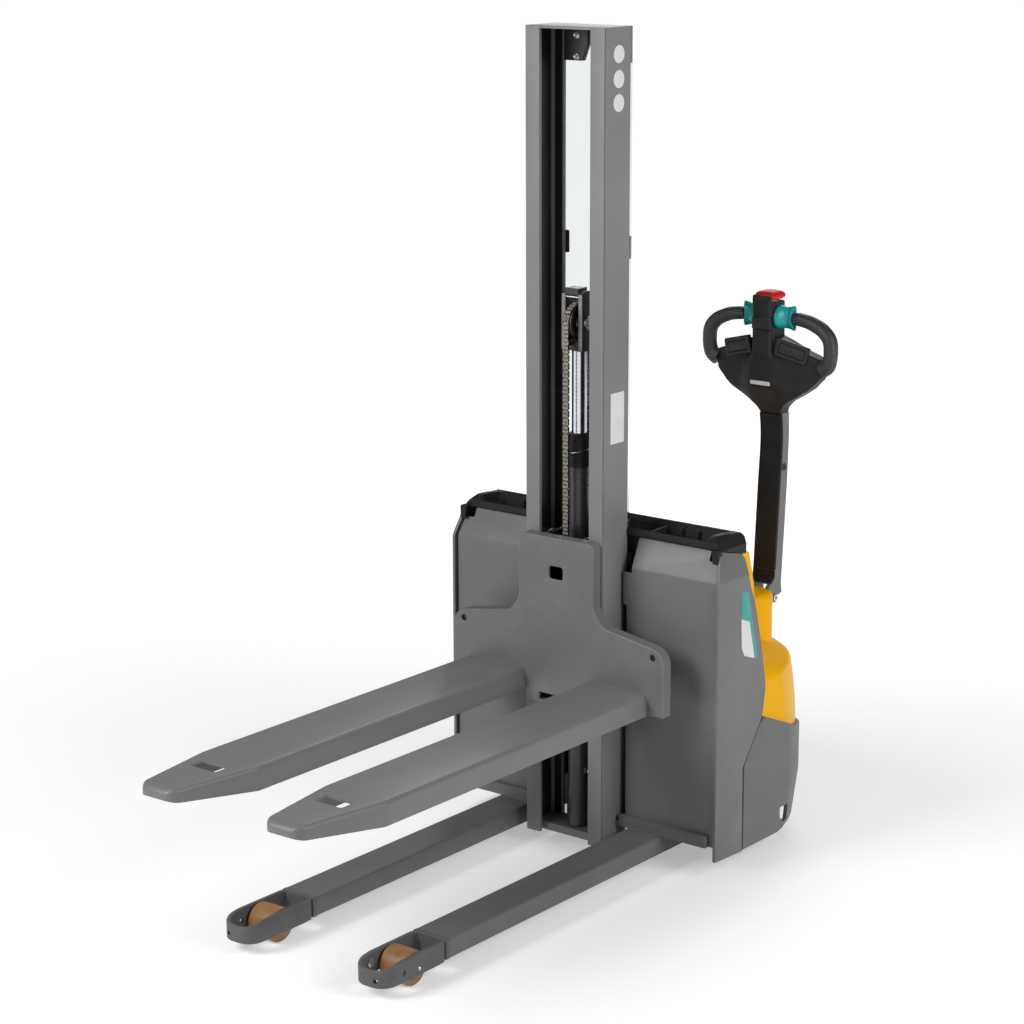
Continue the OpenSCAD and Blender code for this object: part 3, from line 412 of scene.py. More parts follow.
def slab(outline, plane, low, high, edge=1.0, holes=(), creases=(), count=3):
    """Plate with round edges: its outline goes from low to high, drawn in by edge * (1 - sin w) at
    edge * (1 - cos w) from each face, w from 0 to a right angle. Both faces are filled round the holes."""
    loops = [turning_left(outline)] + [turning_left(hole)[::-1] for hole in holes]
    w = np.linspace(0, math.pi / 2, count + 1)
    draw, rise = edge * (1 - np.sin(w)), edge * (1 - np.cos(w))
    levels = [(d, low + r) for d, r in zip(draw, rise)] + [(d, high - r)
                                                           for d, r in zip(draw[::-1], rise[::-1])]
    parts = [loft([ring_at(inset(loop, d), plane, h) for d, h in levels], caps=False) for loop in loops]
    flat, triangles = fill([inset(loop, edge) for loop in loops], creases)
    parts += [(ring_at(flat, plane, low), triangles), (ring_at(flat, plane, high), triangles)]
    return joined(parts)


def joined(parts):
    """Several parts as one."""
    starts = np.cumsum([0] + [len(points) for points, _ in parts])
    faces = [[i + start for i in face] for (_, skin), start in zip(parts, starts) for face in skin]
    return np.concatenate([points for points, _ in parts]), faces


def block(low, high, edge=1.0, corner=None):
    """Box from corner low to corner high with round edges."""
    outline = rounded(rectangle(low[0], high[0], low[1], high[1]), edge if corner is None else corner, 3)
    return slab(outline, "xy", low[2], high[2], edge)


def carried(path, section, side):
    """Section carried along a path: its first number is the distance along side x travel, its second along
    side, a fixed direction square to the path. section is one list of points, or one for each path point."""
    path = np.asarray(path, float)
    travel = np.gradient(path, axis=0)
    travel /= np.linalg.norm(travel, axis=1)[:, None]
    out = np.cross(side, travel)
    section = np.broadcast_to(section, (len(path),) + np.shape(section)[-2:])
    return path[:, None] + section[..., :1] * out[:, None] + section[..., 1:] * np.asarray(side, float)


def cut(made, parts, sharp=32):
    """Takes parts out of a piece: a Boolean of its own modifiers' result, written back as its mesh."""
    tool = piece("cutter", parts, made.data.materials[0], "chassis")
    less = made.modifiers.new("cut", "BOOLEAN")
    less.object = tool
    less.solver = "EXACT"
    result = bpy.data.meshes.new_from_object(made.evaluated_get(bpy.context.evaluated_depsgraph_get()))
    made.modifiers.clear()
    made.data = result
    bpy.data.objects.remove(tool)
    result.polygons.foreach_set("use_smooth", np.ones(len(result.polygons), bool))
    result.set_sharp_from_angle(angle=math.radians(sharp))


# Cast steel, fettled and painted: the tubes' grey but rougher, with the casting skin under it, and a little
# darker as painted shade for the tips under the fork tips.
CAST_STEEL_SHADED = finish("cast_steel_painted_shade", CAST_SHADED_GREY, CAST_SHADED_GREY_DRIFT, 0.58, 6.0, 0.12, patch_mm=60)
# Zinc plate on turned steel: a bright, slightly blue metal with fine turning marks.
ZINC = finish("zinc_plated_steel", "#D9DADB", "#C4C7CB", 0.26, 1.5, 0.01, patch_mm=12, Metallic=1.0)

wall = TIP_WALL / 2
nose_turn = np.linspace(math.pi, 1.5 * math.pi, 10)[:, None]
bend = NOSE_R - wall
left_bend = (LEG_IN + NOSE_R, TIP_NOSE + NOSE_R) + bend * np.hstack([np.cos(nose_turn), np.sin(nose_turn)])
right_bend = (LEG_OUT - NOSE_R, TIP_NOSE + NOSE_R) + bend * np.hstack([-np.cos(nose_turn), np.sin(nose_turn)])
runs = np.linspace(POCKET_END - 6, TIP_NOSE + NOSE_R + 1, 9)
plan = np.vstack([np.stack([np.full(9, LEG_IN + wall), runs], 1), left_bend, right_bend[::-1],
                  np.stack([np.full(9, LEG_OUT - wall), runs[::-1]], 1)])
top = np.interp(plan[:, 1], [TIP_NOSE, SLOPE_START], [NOSE_TOP, LEG_TOP])
low = np.interp(plan[:, 1], [-760, LEG_FRONT], [TIP_LOW, LEG_LOW])
# The wall's section: 10 mm thick with 3.5 mm round rims; z is filled in below from each point's own height
rim = rounded(rectangle(-wall, wall, -10, 10), 3.5, 4)
section = np.repeat(rim[None], len(plan), 0)
upper = rim[:, 1] > 0
section[:, upper, 1] += (top - 10)[:, None]
section[:, ~upper, 1] += (low + 10)[:, None]
tip_wall = loft(carried(np.hstack([plan, np.zeros((len(plan), 1))]), section, (0, 0, 1)))
tip_root = block((LEG_IN, POCKET_END, LEG_LOW), (LEG_OUT, LEG_FRONT + 1.5, LEG_TOP), 2.5)
corner_web = loft([ring_at(rounded([(LEG_IN + 8, POCKET_END - 9), (LEG_IN + 18, POCKET_END + 1),
                                    (LEG_IN + 8, POCKET_END + 1)], 1.0), "xy", z)
                   for z in (LEG_LOW + 2, LEG_TOP - 3)])
for tag, side in SIDES:
    tip = piece(f"leg_tip_{tag}", on_side(side, [tip_wall, tip_root, corner_web]), CAST_STEEL_SHADED, "chassis")
    cut(tip, on_side(side, [turned([(LEG_OUT - 12, 6.5), (LEG_OUT + 2, 6.5)], (0, -883, 50), "x", 24),
                            turned([(TIP_NOSE - 2, 5.4), (TIP_NOSE + 12, 5.4)], (LEG_IN + 68.5, 0, 45), "y",
                                   20)]))
    if side > 0:
        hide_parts("leg_tips")

# Load-wheel axles. Turned pins held in the tip's two walls, with a screw beside each wheel that keeps the
# bushing; zinc plated, so their ends are the bright spots on the tips.
for tag, side in SIDES:
    pin = turned([(LEG_IN + 0.5, 6.5), (LEG_IN + 1.5, AXLE_R - 0.1), (LEG_OUT - 1.5, AXLE_R - 0.1),
                  (LEG_OUT - 0.5, 6.5), (LEG_OUT - 0.5, 2.5), (LEG_OUT - 3, 2.0)], (0, AXLE_Y, AXLE_Z), "x",
                 32)
    screw = turned([(LEG_IN + 9, 11), (LEG_IN + 14, 11), (LEG_IN + 16, 9), (LEG_IN + 16, 4.5),
                    (LEG_IN + 13, 4)], (0, -893, 57), "x", 6)
    dot = turned([(LEG_OUT - 3, 4.5), (LEG_OUT + 0.4, 4.5), (LEG_OUT + 1.4, 3.2)],
                 (0, AXLE_Y, AXLE_Z + 4), "x", 24)
    axle = piece(f"load_wheel_axle_{tag}", on_side(side, [pin, screw, dot]), ZINC, "chassis")
    if side > 0:
        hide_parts("load_wheel_axles")

# Load wheels. A tread of amber polyurethane cast round a steel hub with a ball bearing in each end; the
# tread is matt and its amber drifts a little in tone.
WHEEL_R, WHEEL_HALF, LEG_MID = 40.0, 34.0, 195.5
# Cast polyurethane: a waxy, slightly see-through amber, so light softens in it.
POLYURETHANE = finish("cast_polyurethane", "#AC7C4C", "#8E6640", 0.40, 3.0, 0.05, patch_mm=30,
                      **{"Subsurface Weight": 0.15, "Subsurface Scale": 0.004})
# Machined hub steel: grey, lightly oiled, with round tool marks.
HUB_STEEL = finish("machined_steel", "#9A9C9F", "#85878A", 0.36, 2.0, 0.02, patch_mm=25, Metallic=1.0)


def tread(half, radius, inner, round_off):
    """Closed profile of a tread: flat across, with two round shoulders of round_off, down to its inner
    radius."""
    w = np.linspace(0, math.pi / 2, 6)
    shoulder = np.stack([half - round_off + round_off * np.cos(w),
                         radius - round_off + round_off * np.sin(w)], 1)
    return np.vstack([[(half - 1.5, inner), (half, inner + 2)], shoulder, shoulder[::-1] * (-1, 1),
                      [(-half, inner + 2), (1.5 - half, inner)]])


def hub(half, radius, bore):
    """Closed profile of a hub: a rim, a dished web with the bearing's two races, and the bore."""
    right_end = [(half - 2, radius), (half - 2, radius * 0.8), (half - 5, radius * 0.76),
                 (half - 5, radius * 0.6), (half - 3, radius * 0.57), (half - 3, bore + 1), (half - 4, bore)]
    return right_end + [(-x, r) for x, r in right_end[::-1]]


for tag, side in SIDES:
    spot = (side * LEG_MID, AXLE_Y, AXLE_Z)
    body = f"load_wheel_{tag[0]}"
    piece(f"load_wheel_tread_{tag}", [turned(tread(WHEEL_HALF, WHEEL_R, 24, 5), spot, "x", 72, True)],
          POLYURETHANE, body, [f"load_wheel_{tag}"])
    piece(f"load_wheel_hub_{tag}", [turned(hub(WHEEL_HALF, 24.2, AXLE_R + 0.05), spot, "x", 48, True)],
          HUB_STEEL, body)


# Base frame. Bars across the legs, a floor plate, a bulkhead and a rear deck, all welded from 12 mm plate and
# powder coated with the mast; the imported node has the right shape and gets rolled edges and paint.
def keep(node, material, edge_mm=1.2, count=2):
    """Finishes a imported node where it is: doubles are welded, flat faces joined, edges rounded by edge_mm,
    and the normals weighted by face area so that flats stay flat."""
    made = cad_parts[node]
    if "custom_normal" in made.data.attributes:
        made.data.attributes.remove(made.data.attributes["custom_normal"])
    made.data.polygons.foreach_set("use_smooth", np.ones(len(made.data.polygons), bool))
    made.data.materials.clear()
    made.data.materials.append(material)
    weld = made.modifiers.new("weld", "WELD")
    weld.merge_threshold = 2e-5
    if edge_mm:
        flat = made.modifiers.new("flats", "DECIMATE")
        flat.decimate_type = "DISSOLVE"
        flat.angle_limit = math.radians(1.5)
        edge = made.modifiers.new("edges", "BEVEL")
        edge.width = edge_mm / 1000
        edge.segments = count
        edge.limit_method = "ANGLE"
        edge.angle_limit = math.radians(33)
        edge.use_clamp_overlap = True
    even = made.modifiers.new("normals", "WEIGHTED_NORMAL")
    even.keep_sharp = True
    return made


keep("base_frame", POWDER_GREY_SHADED, 1.5)

# Weld beads. Laid by hand along the tubes where they pass the frame: a low bead with the ripples of the
# weld pool, painted over together with the tubes.
RIPPLE_MM, BEAD_R = 3.5, 3.2


def bead(start, end, radius=BEAD_R):
    """Weld bead: a round cord whose radius swells by a tenth every RIPPLE_MM."""
    start, end = np.asarray(start, float), np.asarray(end, float)
    length = np.linalg.norm(end - start)
    count = max(8, int(length / RIPPLE_MM * 4))
    s = np.linspace(0, length, count)
    size = radius * (0.9 + 0.1 * np.cos(2 * math.pi * s / RIPPLE_MM))
    size *= np.sqrt(np.clip(np.minimum(s, length - s) / radius, 0.02, 1))
    path = start + (end - start) * (s / length)[:, None]
    along = (end - start) / length
    side = np.cross(along, (0.31, 0.52, 0.79))
    side /= np.linalg.norm(side)
    return loft(carried(path, size[:, None, None] * circle(8), side))


beads = both_sides([bead((LEG_IN + 2, 60.5, LEG_TOP), (LEG_OUT - 2, 60.5, LEG_TOP)),
                    bead((LEG_IN - 0.3, 75, 91), (LEG_IN - 0.3, 250, 91), 2.4),
                    bead((LEG_IN + 3, LEG_FRONT + 3, LEG_TOP - 0.6),
                         (LEG_OUT - 3, LEG_FRONT + 3, LEG_TOP - 0.6), 1.3)])
piece("leg_weld_beads", beads, POWDER_GREY_SHADED, "chassis")


# Battery. A traction battery in a black polypropylene box with lead terminals, standing on the floor plate at
# the machine's left; it is lifted out from the rear and hidden by the cover.
# Injection-moulded polypropylene: black, softly shining, with a fine moulded grain.
BLACK_PP = finish("moulded_polypropylene", "#26272A", "#1F2022", 0.52, 0.9, 0.03, patch_mm=60,
                  **{"Specular IOR Level": 0.2})
keep("battery", BLACK_PP, 2.5, 3)
low, high = (v * 1000 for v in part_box("battery"))
RIB_W, RIB_PITCH = 5, 22
ribs = [block((x, high.y - FRONT_MM - 0.5, low.z + 20), (x + RIB_W, high.y - FRONT_MM + 1.5, high.z - 60),
              1.0) for x in np.arange(low.x + 18, high.x - 20, RIB_PITCH)]
piece("battery_ribs", ribs, BLACK_PP, "chassis")

# Pump unit. Motor, pump and oil tank in one: the tank is a painted box on the floor plate and the motor
# stands on it; the band round the motor covers its brushes.
# Wet-sprayed machine enamel: a darker, glossier grey than the powder coat.
ENAMEL = finish("machine_enamel", "#45484B", "#3B3E41", 0.38, 4.0, 0.04, patch_mm=90)
keep("pump_unit", ENAMEL, 3.0, 3)
low, high = (v * 1000 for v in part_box("pump_unit"))
MOTOR_AT = (190.5, 170.0)
bands = [turned([(z, 51.5), (z, 53), (z + 1, 54), (z + h - 1, 54), (z + h, 53), (z + h, 51.5)],
                (*MOTOR_AT, 0), "z", 40)
         for z, h in ((262, 14), (372, 20))]
piece("pump_motor_bands", bands, ZINC, "chassis")

# Motor controller. Power electronics potted on a finned heat sink of extruded aluminium, screwed above the
# pump.
# Black-anodised aluminium: dark, faintly metallic, with the lines of the extrusion.
ANODISED = finish("black_anodised_aluminium", "#3A3B3E", "#303134", 0.34, 0.8, 0.01, patch_mm=50,
                  stretch=(1, 1, 0.1), Metallic=0.7)
keep("motor_controller", ANODISED, 0.8)

# Pressure pipe. A bent 12 mm steel tube, zinc plated, that takes the oil from the pump to the foot of the
# lift cylinder.
keep("hydraulic_pipe", ZINC, 0)

# Mast profiles. Hot-rolled C-sections, 103 deep, whose flanges guide the carriage's rollers; the hot rolling
# leaves round corners outside and a wide fillet in the channel. A groove runs down the outer face.
MAST_IN, MAST_OUT, MAST_BACK, MAST_LOW, MAST_TOP = 73.0, 113.0, 103.0, 37.0, 1990.6
MAST_LIT_GREY, MAST_LIT_GREY_DRIFT = "#848485", "#7C7C7D"
# The same powder coat in a lighter grey: painted light for the extra light the long mast catches; its tone
# drifts along the height.
MAST_POWDER_LIT = finish("powder_coat_mast_painted_light", MAST_LIT_GREY, MAST_LIT_GREY_DRIFT, 0.46, 5.0, 0.05, patch_mm=260)
corners = [(MAST_IN, 0, 1.5), (MAST_OUT, 0, 2.2), (MAST_OUT, 1.7, 0.1), (MAST_OUT - 1.6, 1.9, 0.1),
           (MAST_OUT - 1.6, 3.6, 0.1), (MAST_OUT, 3.8, 0.1), (MAST_OUT, MAST_BACK, 3),
           (MAST_IN, MAST_BACK, 1.5), (MAST_IN, 92, 3), (104, 92, 9), (104, 11, 9), (MAST_IN, 11, 3)]
section = rounded([c[:2] for c in corners], np.array([c[2] for c in corners]), 6)
rail = slab(section, "xy", MAST_LOW, MAST_TOP, 0.0)
pair("mast_rail", rail, MAST_POWDER_LIT, "mast_profile")

# Painted shade in the channels. A thin black film on the channel's web and on the inside of its rear flange
# stands in for the deep shade there, which the lamps alone leave too light.
# Painted shade: a black, half-shining film, drawn out in streaks along the height.
CHANNEL_SHADE_FILM = finish("painted_channel_shade", "#1D1C1D", "#2A292A", 0.45, 6.0, 0.03, patch_mm=90,
                      stretch=(1, 1, 0.2))
films = [slab(rectangle(103.72, 103.96, 13, 90), "xy", MAST_LOW + 3, 1984, 0.05),
         slab(rectangle(76, 102, 91.72, 91.96), "xy", MAST_LOW + 3, 1984, 0.05)]
piece("channel_shade_films", both_sides(films), CHANNEL_SHADE_FILM, "chassis")

# Mast top plate and crossbars. A flat plate over the two profiles and four flat bars across their backs, cut
# from strip and welded, with a fillet weld at each end.
top_plate = [block((-MAST_OUT, 0, 1989.5), (MAST_OUT, MAST_BACK, 1992), 1.0, 2.2),
             block((-72.8, 0.4, 1985.5), (72.8, 102.6, 1990.5), 0.8)]
piece("mast_cap_plate", top_plate, MAST_POWDER_LIT, "chassis", ["mast_top_plate"])
keep("mast_crossbars", MAST_POWDER_LIT, 1.2)
beads = both_sides([bead((MAST_OUT + 0.2, MAST_BACK + 1.0, low_z),
                         (MAST_OUT + 0.2, MAST_BACK + 1.0, top_z), 2.0)
                    for low_z, top_z in ((84, 156), (239, 296), (624, 696))])
piece("mast_weld_beads", beads, MAST_POWDER_LIT, "chassis")

# End stops. Two black rubber blocks bolted under the top plate behind the profiles' inner edges; each has two
# cylinder-head bolts whose bright heads face forward.
# Vulcanised rubber: near black and dull, with a faint bloom.
RUBBER = finish("vulcanised_rubber", "#302C33", "#28252A", 0.55, 2.0, 0.04, patch_mm=40)
keep("stop_block", RUBBER, 2.5, 3)
STOP_BOLT_X, STOP_BOLTS_Z = 38, (1917.0, 1966.0)
bolts = []
for z in STOP_BOLTS_Z:
    head = turned([(91.8, 1.5), (92.8, 1.8), (92.4, 2.6), (91.2, 3.2), (91.0, 4.6), (91.8, 5.4), (96.2, 5.4)],
                  (STOP_BOLT_X, 0, z), "y", 24)
    washer = turned([(94.6, 5.0), (94.6, 8.0), (95.2, 8.6), (96.2, 8.6)], (STOP_BOLT_X, 0, z), "y", 24)
    bolts += [head, washer]
piece("stop_bolts", both_sides(bolts), ZINC, "chassis")

# Guard. A clear polycarbonate sheet on the back of the mast that keeps hands out of it, held by two small
# black clips on each side.
GUARD = finish("clear_polycarbonate", "#F0F2F2", "#E9ECEC", 0.06, 30.0, 0.01, patch_mm=400, spread=0.02,
               IOR=1.2, **{"Transmission Weight": 1.0})
GUARD_HALF, GUARD_LOW, GUARD_TOP, GUARD_Y, GUARD_T = 110, 830, 1985, 109.0, 3.0
guard = slab(rounded(rectangle(-GUARD_HALF, GUARD_HALF, GUARD_LOW, GUARD_TOP), 4), "xz", GUARD_Y,
             GUARD_Y + GUARD_T, 0.3)
piece("mast_guard_sheet", [guard], GUARD, "chassis", ["mast_guard"])
clips = both_sides([block((66, 102.9, 1459), (77, 108.6, 1511), 1.5),
                    block((100, 112, 1459), (110, 113.6, 1511), 0.8)])
piece("guard_clips", clips, BLACK_PP, "chassis")

# Blank labels on the mast's right side: three round ones and a plate, printed vinyl in real life, here plain.
# Vinyl film: smooth, softly shining white.
VINYL = finish("white_vinyl_film", "#E9E9E8", "#E2E2E1", 0.34, 2.0, 0.005, patch_mm=40)
DISC_Y, DISCS_Z = 56, (1931, 1875, 1821)
labels = [turned([(MAST_OUT, 20.5), (MAST_OUT + 0.25, 20.3), (MAST_OUT + 0.3, 19.8)], (0, DISC_Y, z), "x",
                 40) for z in DISCS_Z]
labels.append(slab(rounded(rectangle(31, 84, 1029, 1150), 2), "yz", MAST_OUT, MAST_OUT + 0.3, 0.1))
piece("mast_labels", labels, VINYL, "chassis")

# Lift cylinder. A honed steel tube painted dark, standing on the foot plate in a turned socket, with a ring
# at its port; a black gland is screwed on top, with a wire clip and a wiper lip.
CYLINDER_Y, TUBE_TOP, GLAND_TOP = 60.0, 960.0, 1040.0
# Brushed-on cylinder enamel: a dark violet grey, half glossy.
CYLINDER_PAINT = finish("cylinder_enamel", "#4A444A", "#403B40", 0.30, 8.0, 0.03, patch_mm=120)
tube = turned([(57.5, 12), (57.5, 25), (58.5, 27.5), (150, 27.5), (157, 25.2), (TUBE_TOP - 26, 25),
               (TUBE_TOP - 25, 25.8), (TUBE_TOP - 4, 25.8), (TUBE_TOP - 0.5, 25), (TUBE_TOP - 0.5, 19.5),
               (157, 19.5), (70, 19.5), (70, 12)], (0, CYLINDER_Y, 0), "z", 64, True)
port = turned([(22, 10), (28.5, 10), (29, 9.4), (29, 7), (22, 7)], (0, CYLINDER_Y, 200), "x", 24)
piece("lift_cylinder_tube", [tube, port], CYLINDER_PAINT, "chassis", ["lift_cylinder"])
gland = turned([(TUBE_TOP, 19.2), (TUBE_TOP, 27), (TUBE_TOP + 1.5, 28), (990, 28), (991, 27.4), (993, 27.4),
                (994, 28), (1031, 28), (1034, 26.5), (1036, 25), (GLAND_TOP, 23.5), (GLAND_TOP, 19.2),
                (1038, 18.3), (1036, 18.3), (1034, 19.2)], (0, CYLINDER_Y, 0), "z", 64, True)
piece("cylinder_gland_ring", [gland], BLACK_PP, "chassis", ["cylinder_gland"])
WIRE_BEND_R, WIRE_Z, WIRE_RISE = 28.6, 1000, 6
t = np.linspace(0, 2 * math.pi, 60, endpoint=False)
clip_path = np.stack([WIRE_BEND_R * np.cos(t), CYLINDER_Y + WIRE_BEND_R * np.sin(t),
                      WIRE_Z + WIRE_RISE * np.cos(t - 0.9)], 1)
clip = loft(carried(np.vstack([clip_path[-1:], clip_path, clip_path[:1]]), circle(8), (0.05, 0.02, 1))[1:-1],
            loop=True)
piece("gland_wire_clip", [clip], ZINC, "chassis")

# Piston rod. Ground and hard-chromed steel, 36 mm thick, rising at half the speed of the forks.
# Hard chrome: a mirror that shows the lamps as long bright streaks.
CHROME = finish("hard_chrome", "#D6D8DC", "#CBCED3", 0.07, 0.6, 0.001, patch_mm=80, spread=0.02, Metallic=1.0)
rod = turned([(350, 12), (350, 16.5), (351.5, 18), (1240, 18), (1240, 8)], (0, CYLINDER_Y, 0), "z", 64)
piece("piston_rod_chromed", [rod], CHROME, "rod", ["piston_rod"])

# Sheave bracket. Two flame-cut cheeks on a foot screwed to the rod, joined by a bridge above the sheave;
# black paint, worn bright on the cut edges by the fitting.
# Thin black paint on flame-cut plate: half dull with a slight blue.
BLACK_PAINT = finish("black_painted_steel", "#343236", "#29282B", 0.42, 3.0, 0.05, patch_mm=35)
# Cut edges with the paint worn off: grey steel with a dull shine.
BARE_EDGE = finish("worn_bare_steel", "#8B888C", "#6C6A6E", 0.40, 1.2, 0.02, patch_mm=12, Metallic=0.8)
keep("sheave_bracket", BLACK_PAINT, 1.5, 3)
cheek = rounded([(30, 1240), (84, 1240), (84, 1362), (66, 1382), (42, 1382), (30, 1375)], 3, 3)
trim = [loft([ring_at(inset(cheek, d), "yz", x) for d, x in
              ((0.9, 18.6), (-0.12, 19.6), (-0.12, 29.4), (0.9, 30.4), (1.4, 30.4), (1.4, 18.6))], loop=True)]
trim += [turned([(30.4, 2.6), (31.0, 2.4), (31.0, 0.2)], (0, y, z), "x", 16)
         for y, z in ((58, 1368), (66, 1258))]
piece("bracket_bare_edges", both_sides(trim), BARE_EDGE, "rod")
keeper = turned([(-18.4, 1.6), (-18.4, 2.55), (18.4, 2.55), (18.4, 1.6)], (0, 34, 1368), "x", 16)
piece("bracket_keeper_pin", [keeper], ZINC, "rod")

# Sheave pin. A bright pin of turned steel through both cheeks, with a head at its right end; a lock plate
# keeps it in.
SHEAVE_Y, SHEAVE_Z = 52.0, 1307.0
pin = turned([(-33.5, 7), (-32.5, 9.8), (30.5, 9.8), (30.5, 16), (31.5, 17), (34.5, 17), (35.5, 16),
              (35.5, 4), (34.7, 3)], (0, SHEAVE_Y, SHEAVE_Z), "x", 40)
piece("sheave_pin_turned", [pin], ZINC, "rod", ["sheave_pin"])

# Chain sheave. A turned cast-iron wheel with two flanges, running on a needle bearing; oiled, dark and fairly
# smooth.
# Oiled machined iron.
OILED_IRON = finish("oiled_machined_iron", "#58585B", "#3F3F42", 0.32, 1.5, 0.02, patch_mm=18, Metallic=0.9)
sheave = turned([(-12.4, 10.3), (-12.4, 42), (-11.8, 42.5), (-8.2, 42.5), (-7.6, 42), (-7.4, 36.6),
                 (7.4, 36.6), (7.6, 42), (8.2, 42.5), (11.8, 42.5), (12.4, 42), (12.4, 34), (10.5, 32),
                 (10.5, 19), (12.4, 17.5), (12.4, 10.3)], (0, SHEAVE_Y, SHEAVE_Z), "x", 72, True)
marks = [turned([(10.4, 3.2), (11.5, 3.0), (11.5, 0.2)], (0, SHEAVE_Y + 25.5 * math.cos(a),
                                                          SHEAVE_Z + 25.5 * math.sin(a)), "x", 12)
         for a in np.arange(6) * math.pi / 3]
piece("chain_sheave_turned", [sheave] + marks, OILED_IRON, "sheave", ["chain_sheave"])

# Lift chain. A leaf chain of stamped plates on riveted pins, 14.6 mm wide at a pitch of 9.525 mm, from the
# carriage over the sheave to the anchor behind the mast. Here no link runs over the sheave: as stand-ins the
# front run is squashed along its length, and the two rear pieces pass through each other at low forks.
# Stamped, oiled chain steel: a dark grey brown in small patches.
CHAIN_STEEL = finish("oiled_chain_steel", "#B9AFA5", "#857C74", 0.42, 1.0, 0.03, patch_mm=5, Metallic=0.9)
CHAIN_PITCH, CHAIN_R, PLATE_HALF = 9.525, 43.0, 0.7
FRONT_RUN_LOW, REAR_UPPER_LOW, REAR_LOWER_LOW, REAR_LOWER_START = 422, 470, 272, 22
FRONT_RUN_Y, REAR_RUN_Y = SHEAVE_Y - CHAIN_R, SHEAVE_Y + CHAIN_R


def links(path, phase=0, scale=1.0):
    """Leaf chain on a path of (y, z) pins one pitch apart: every second link has plates at x = 6.4 and 2.1
    on both sides, the others at 4.2 and 0. A plate has two round ends 8.4 mm high and a waist of 4.8 mm,
    times scale; each pin is 3.2 mm thick."""
    turn = np.linspace(-0.36, 0.36, 3) * math.pi
    parts = []
    for k, ((y0, z0), (y1, z1)) in enumerate(zip(path[:-1], path[1:])):
        along = np.array([y1 - y0, z1 - z0])
        length = np.linalg.norm(along)
        along /= length
        across = np.array([-along[1], along[0]])
        far = np.stack([length + 3.4 * np.cos(turn), 4.2 * np.sin(turn)], 1) * (1, scale)
        outline = np.vstack([far, [(length / 2, 2.4 * scale)], (far * (-1, -1)) + (length, 0),
                             [(length / 2, -2.4 * scale)]])
        flat = (y0, z0) + outline[:, :1] * along + outline[:, 1:] * across
        for x in ((-6.4, -2.1, 2.1, 6.4) if (k + phase) % 2 == 0 else (-4.2, 0.0, 4.2)):
            parts.append(loft([ring_at(flat, "yz", x - PLATE_HALF), ring_at(flat, "yz", x + PLATE_HALF)]))
        parts.append(turned([(-7.2, 1.6), (7.2, 1.6)], (0, y0, z0), "x", 6))
    return parts


def run(y, top_z, low_z):
    """Pins from the sheave's height down to low_z."""
    return [(y, z) for z in np.arange(top_z, low_z, -CHAIN_PITCH)]


angles = np.linspace(0, math.pi, 15)
arc = [(SHEAVE_Y - CHAIN_R * math.cos(a), SHEAVE_Z + CHAIN_R * math.sin(a)) for a in angles]
front = piece("lift_chain_front_run", links(run(FRONT_RUN_Y, SHEAVE_Z, FRONT_RUN_LOW)), CHAIN_STEEL, "rod",
              ["lift_chain_front"], sharp=20)
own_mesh(front)
tail = piece("lift_chain_front_tail", links(run(FRONT_RUN_Y, SHEAVE_Z, FRONT_RUN_LOW), 0, 0.95), CHAIN_STEEL,
             "carriage", sharp=20)
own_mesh(tail)
piece("lift_chain_over_sheave", links(arc, 1), CHAIN_STEEL, "rod", sharp=20)
piece("lift_chain_rear_upper", links(run(REAR_RUN_Y, SHEAVE_Z, REAR_UPPER_LOW)), CHAIN_STEEL, "rod",
      ["lift_chain_rear"], sharp=20)
piece("lift_chain_rear_lower",
      links(run(REAR_RUN_Y, SHEAVE_Z - REAR_LOWER_START * CHAIN_PITCH, REAR_LOWER_LOW), 0, 0.95),
      CHAIN_STEEL, "chassis", sharp=20)


# Carriage plate. A pan pressed from 8 mm plate: the front wraps round the profiles' front, a rim runs back
# all round, and windows are cut for the chain anchor; it is welded to the roller carriers.
PAN_FRONT, PAN_BACK, PLATE_T = -33.0, -2.0, 8.0
# Powder coat on pressed plate: the machine's grey, a little darker and flatter than on the mast.
CARRIAGE_POWDER = finish("powder_coated_carriage", "#757576", "#6A6A6B", 0.48, 5.0, 0.06, patch_mm=170)
half = [(88, 383), (88, 413), (141, 413), (141, 459), (250, 459), (250, 413), (315, 413), (315, 573),
        (136, 603), (111, 640), (111, 800)]
SHOULDER_HOLE_X, SHOULDER_HOLE_Z, SHOULDER_HOLE_R = 283, 555, 7.5
radii = [6, 0.5, 0.5, 3, 3, 0.5, 3, 42, 38, 38, 17]
outline = half + [(-x, z) for x, z in half[::-1]]
pan = rounded(outline, np.array(radii + radii[::-1], float), 9)
window = rounded(rectangle(-20, 20, 698, 729), 6)
tongue_window = rounded(rectangle(-50, 50, 392, 409), 2)
holes = [turning_left(rounded(np.array([(math.cos(a), math.sin(a))
                                        for a in np.arange(24) * math.pi / 12]) * SHOULDER_HOLE_R
                              + (side * SHOULDER_HOLE_X, SHOULDER_HOLE_Z), 0.5, 1)) for _, side in SIDES]
front_skin = slab(pan, "xz", PAN_FRONT, PAN_FRONT + PLATE_T, 3.5, [window, tongue_window] + holes, count=4)
rim_line = turning_left(pan)
rim = loft([ring_at(inset(rim_line, d), "xz", y)
            for d, y in ((3.5, PAN_FRONT + 0.3), (0.0, PAN_FRONT + 4), (0.0, PAN_BACK - 1), (0.8, PAN_BACK),
                         (7.2, PAN_BACK), (7.8, PAN_BACK - 1), (7.8, PAN_FRONT + 7))], loop=True)
piece("carriage_pan", [front_skin, rim], CARRIAGE_POWDER, "carriage", ["carriage_plate"],
      sharp=28)

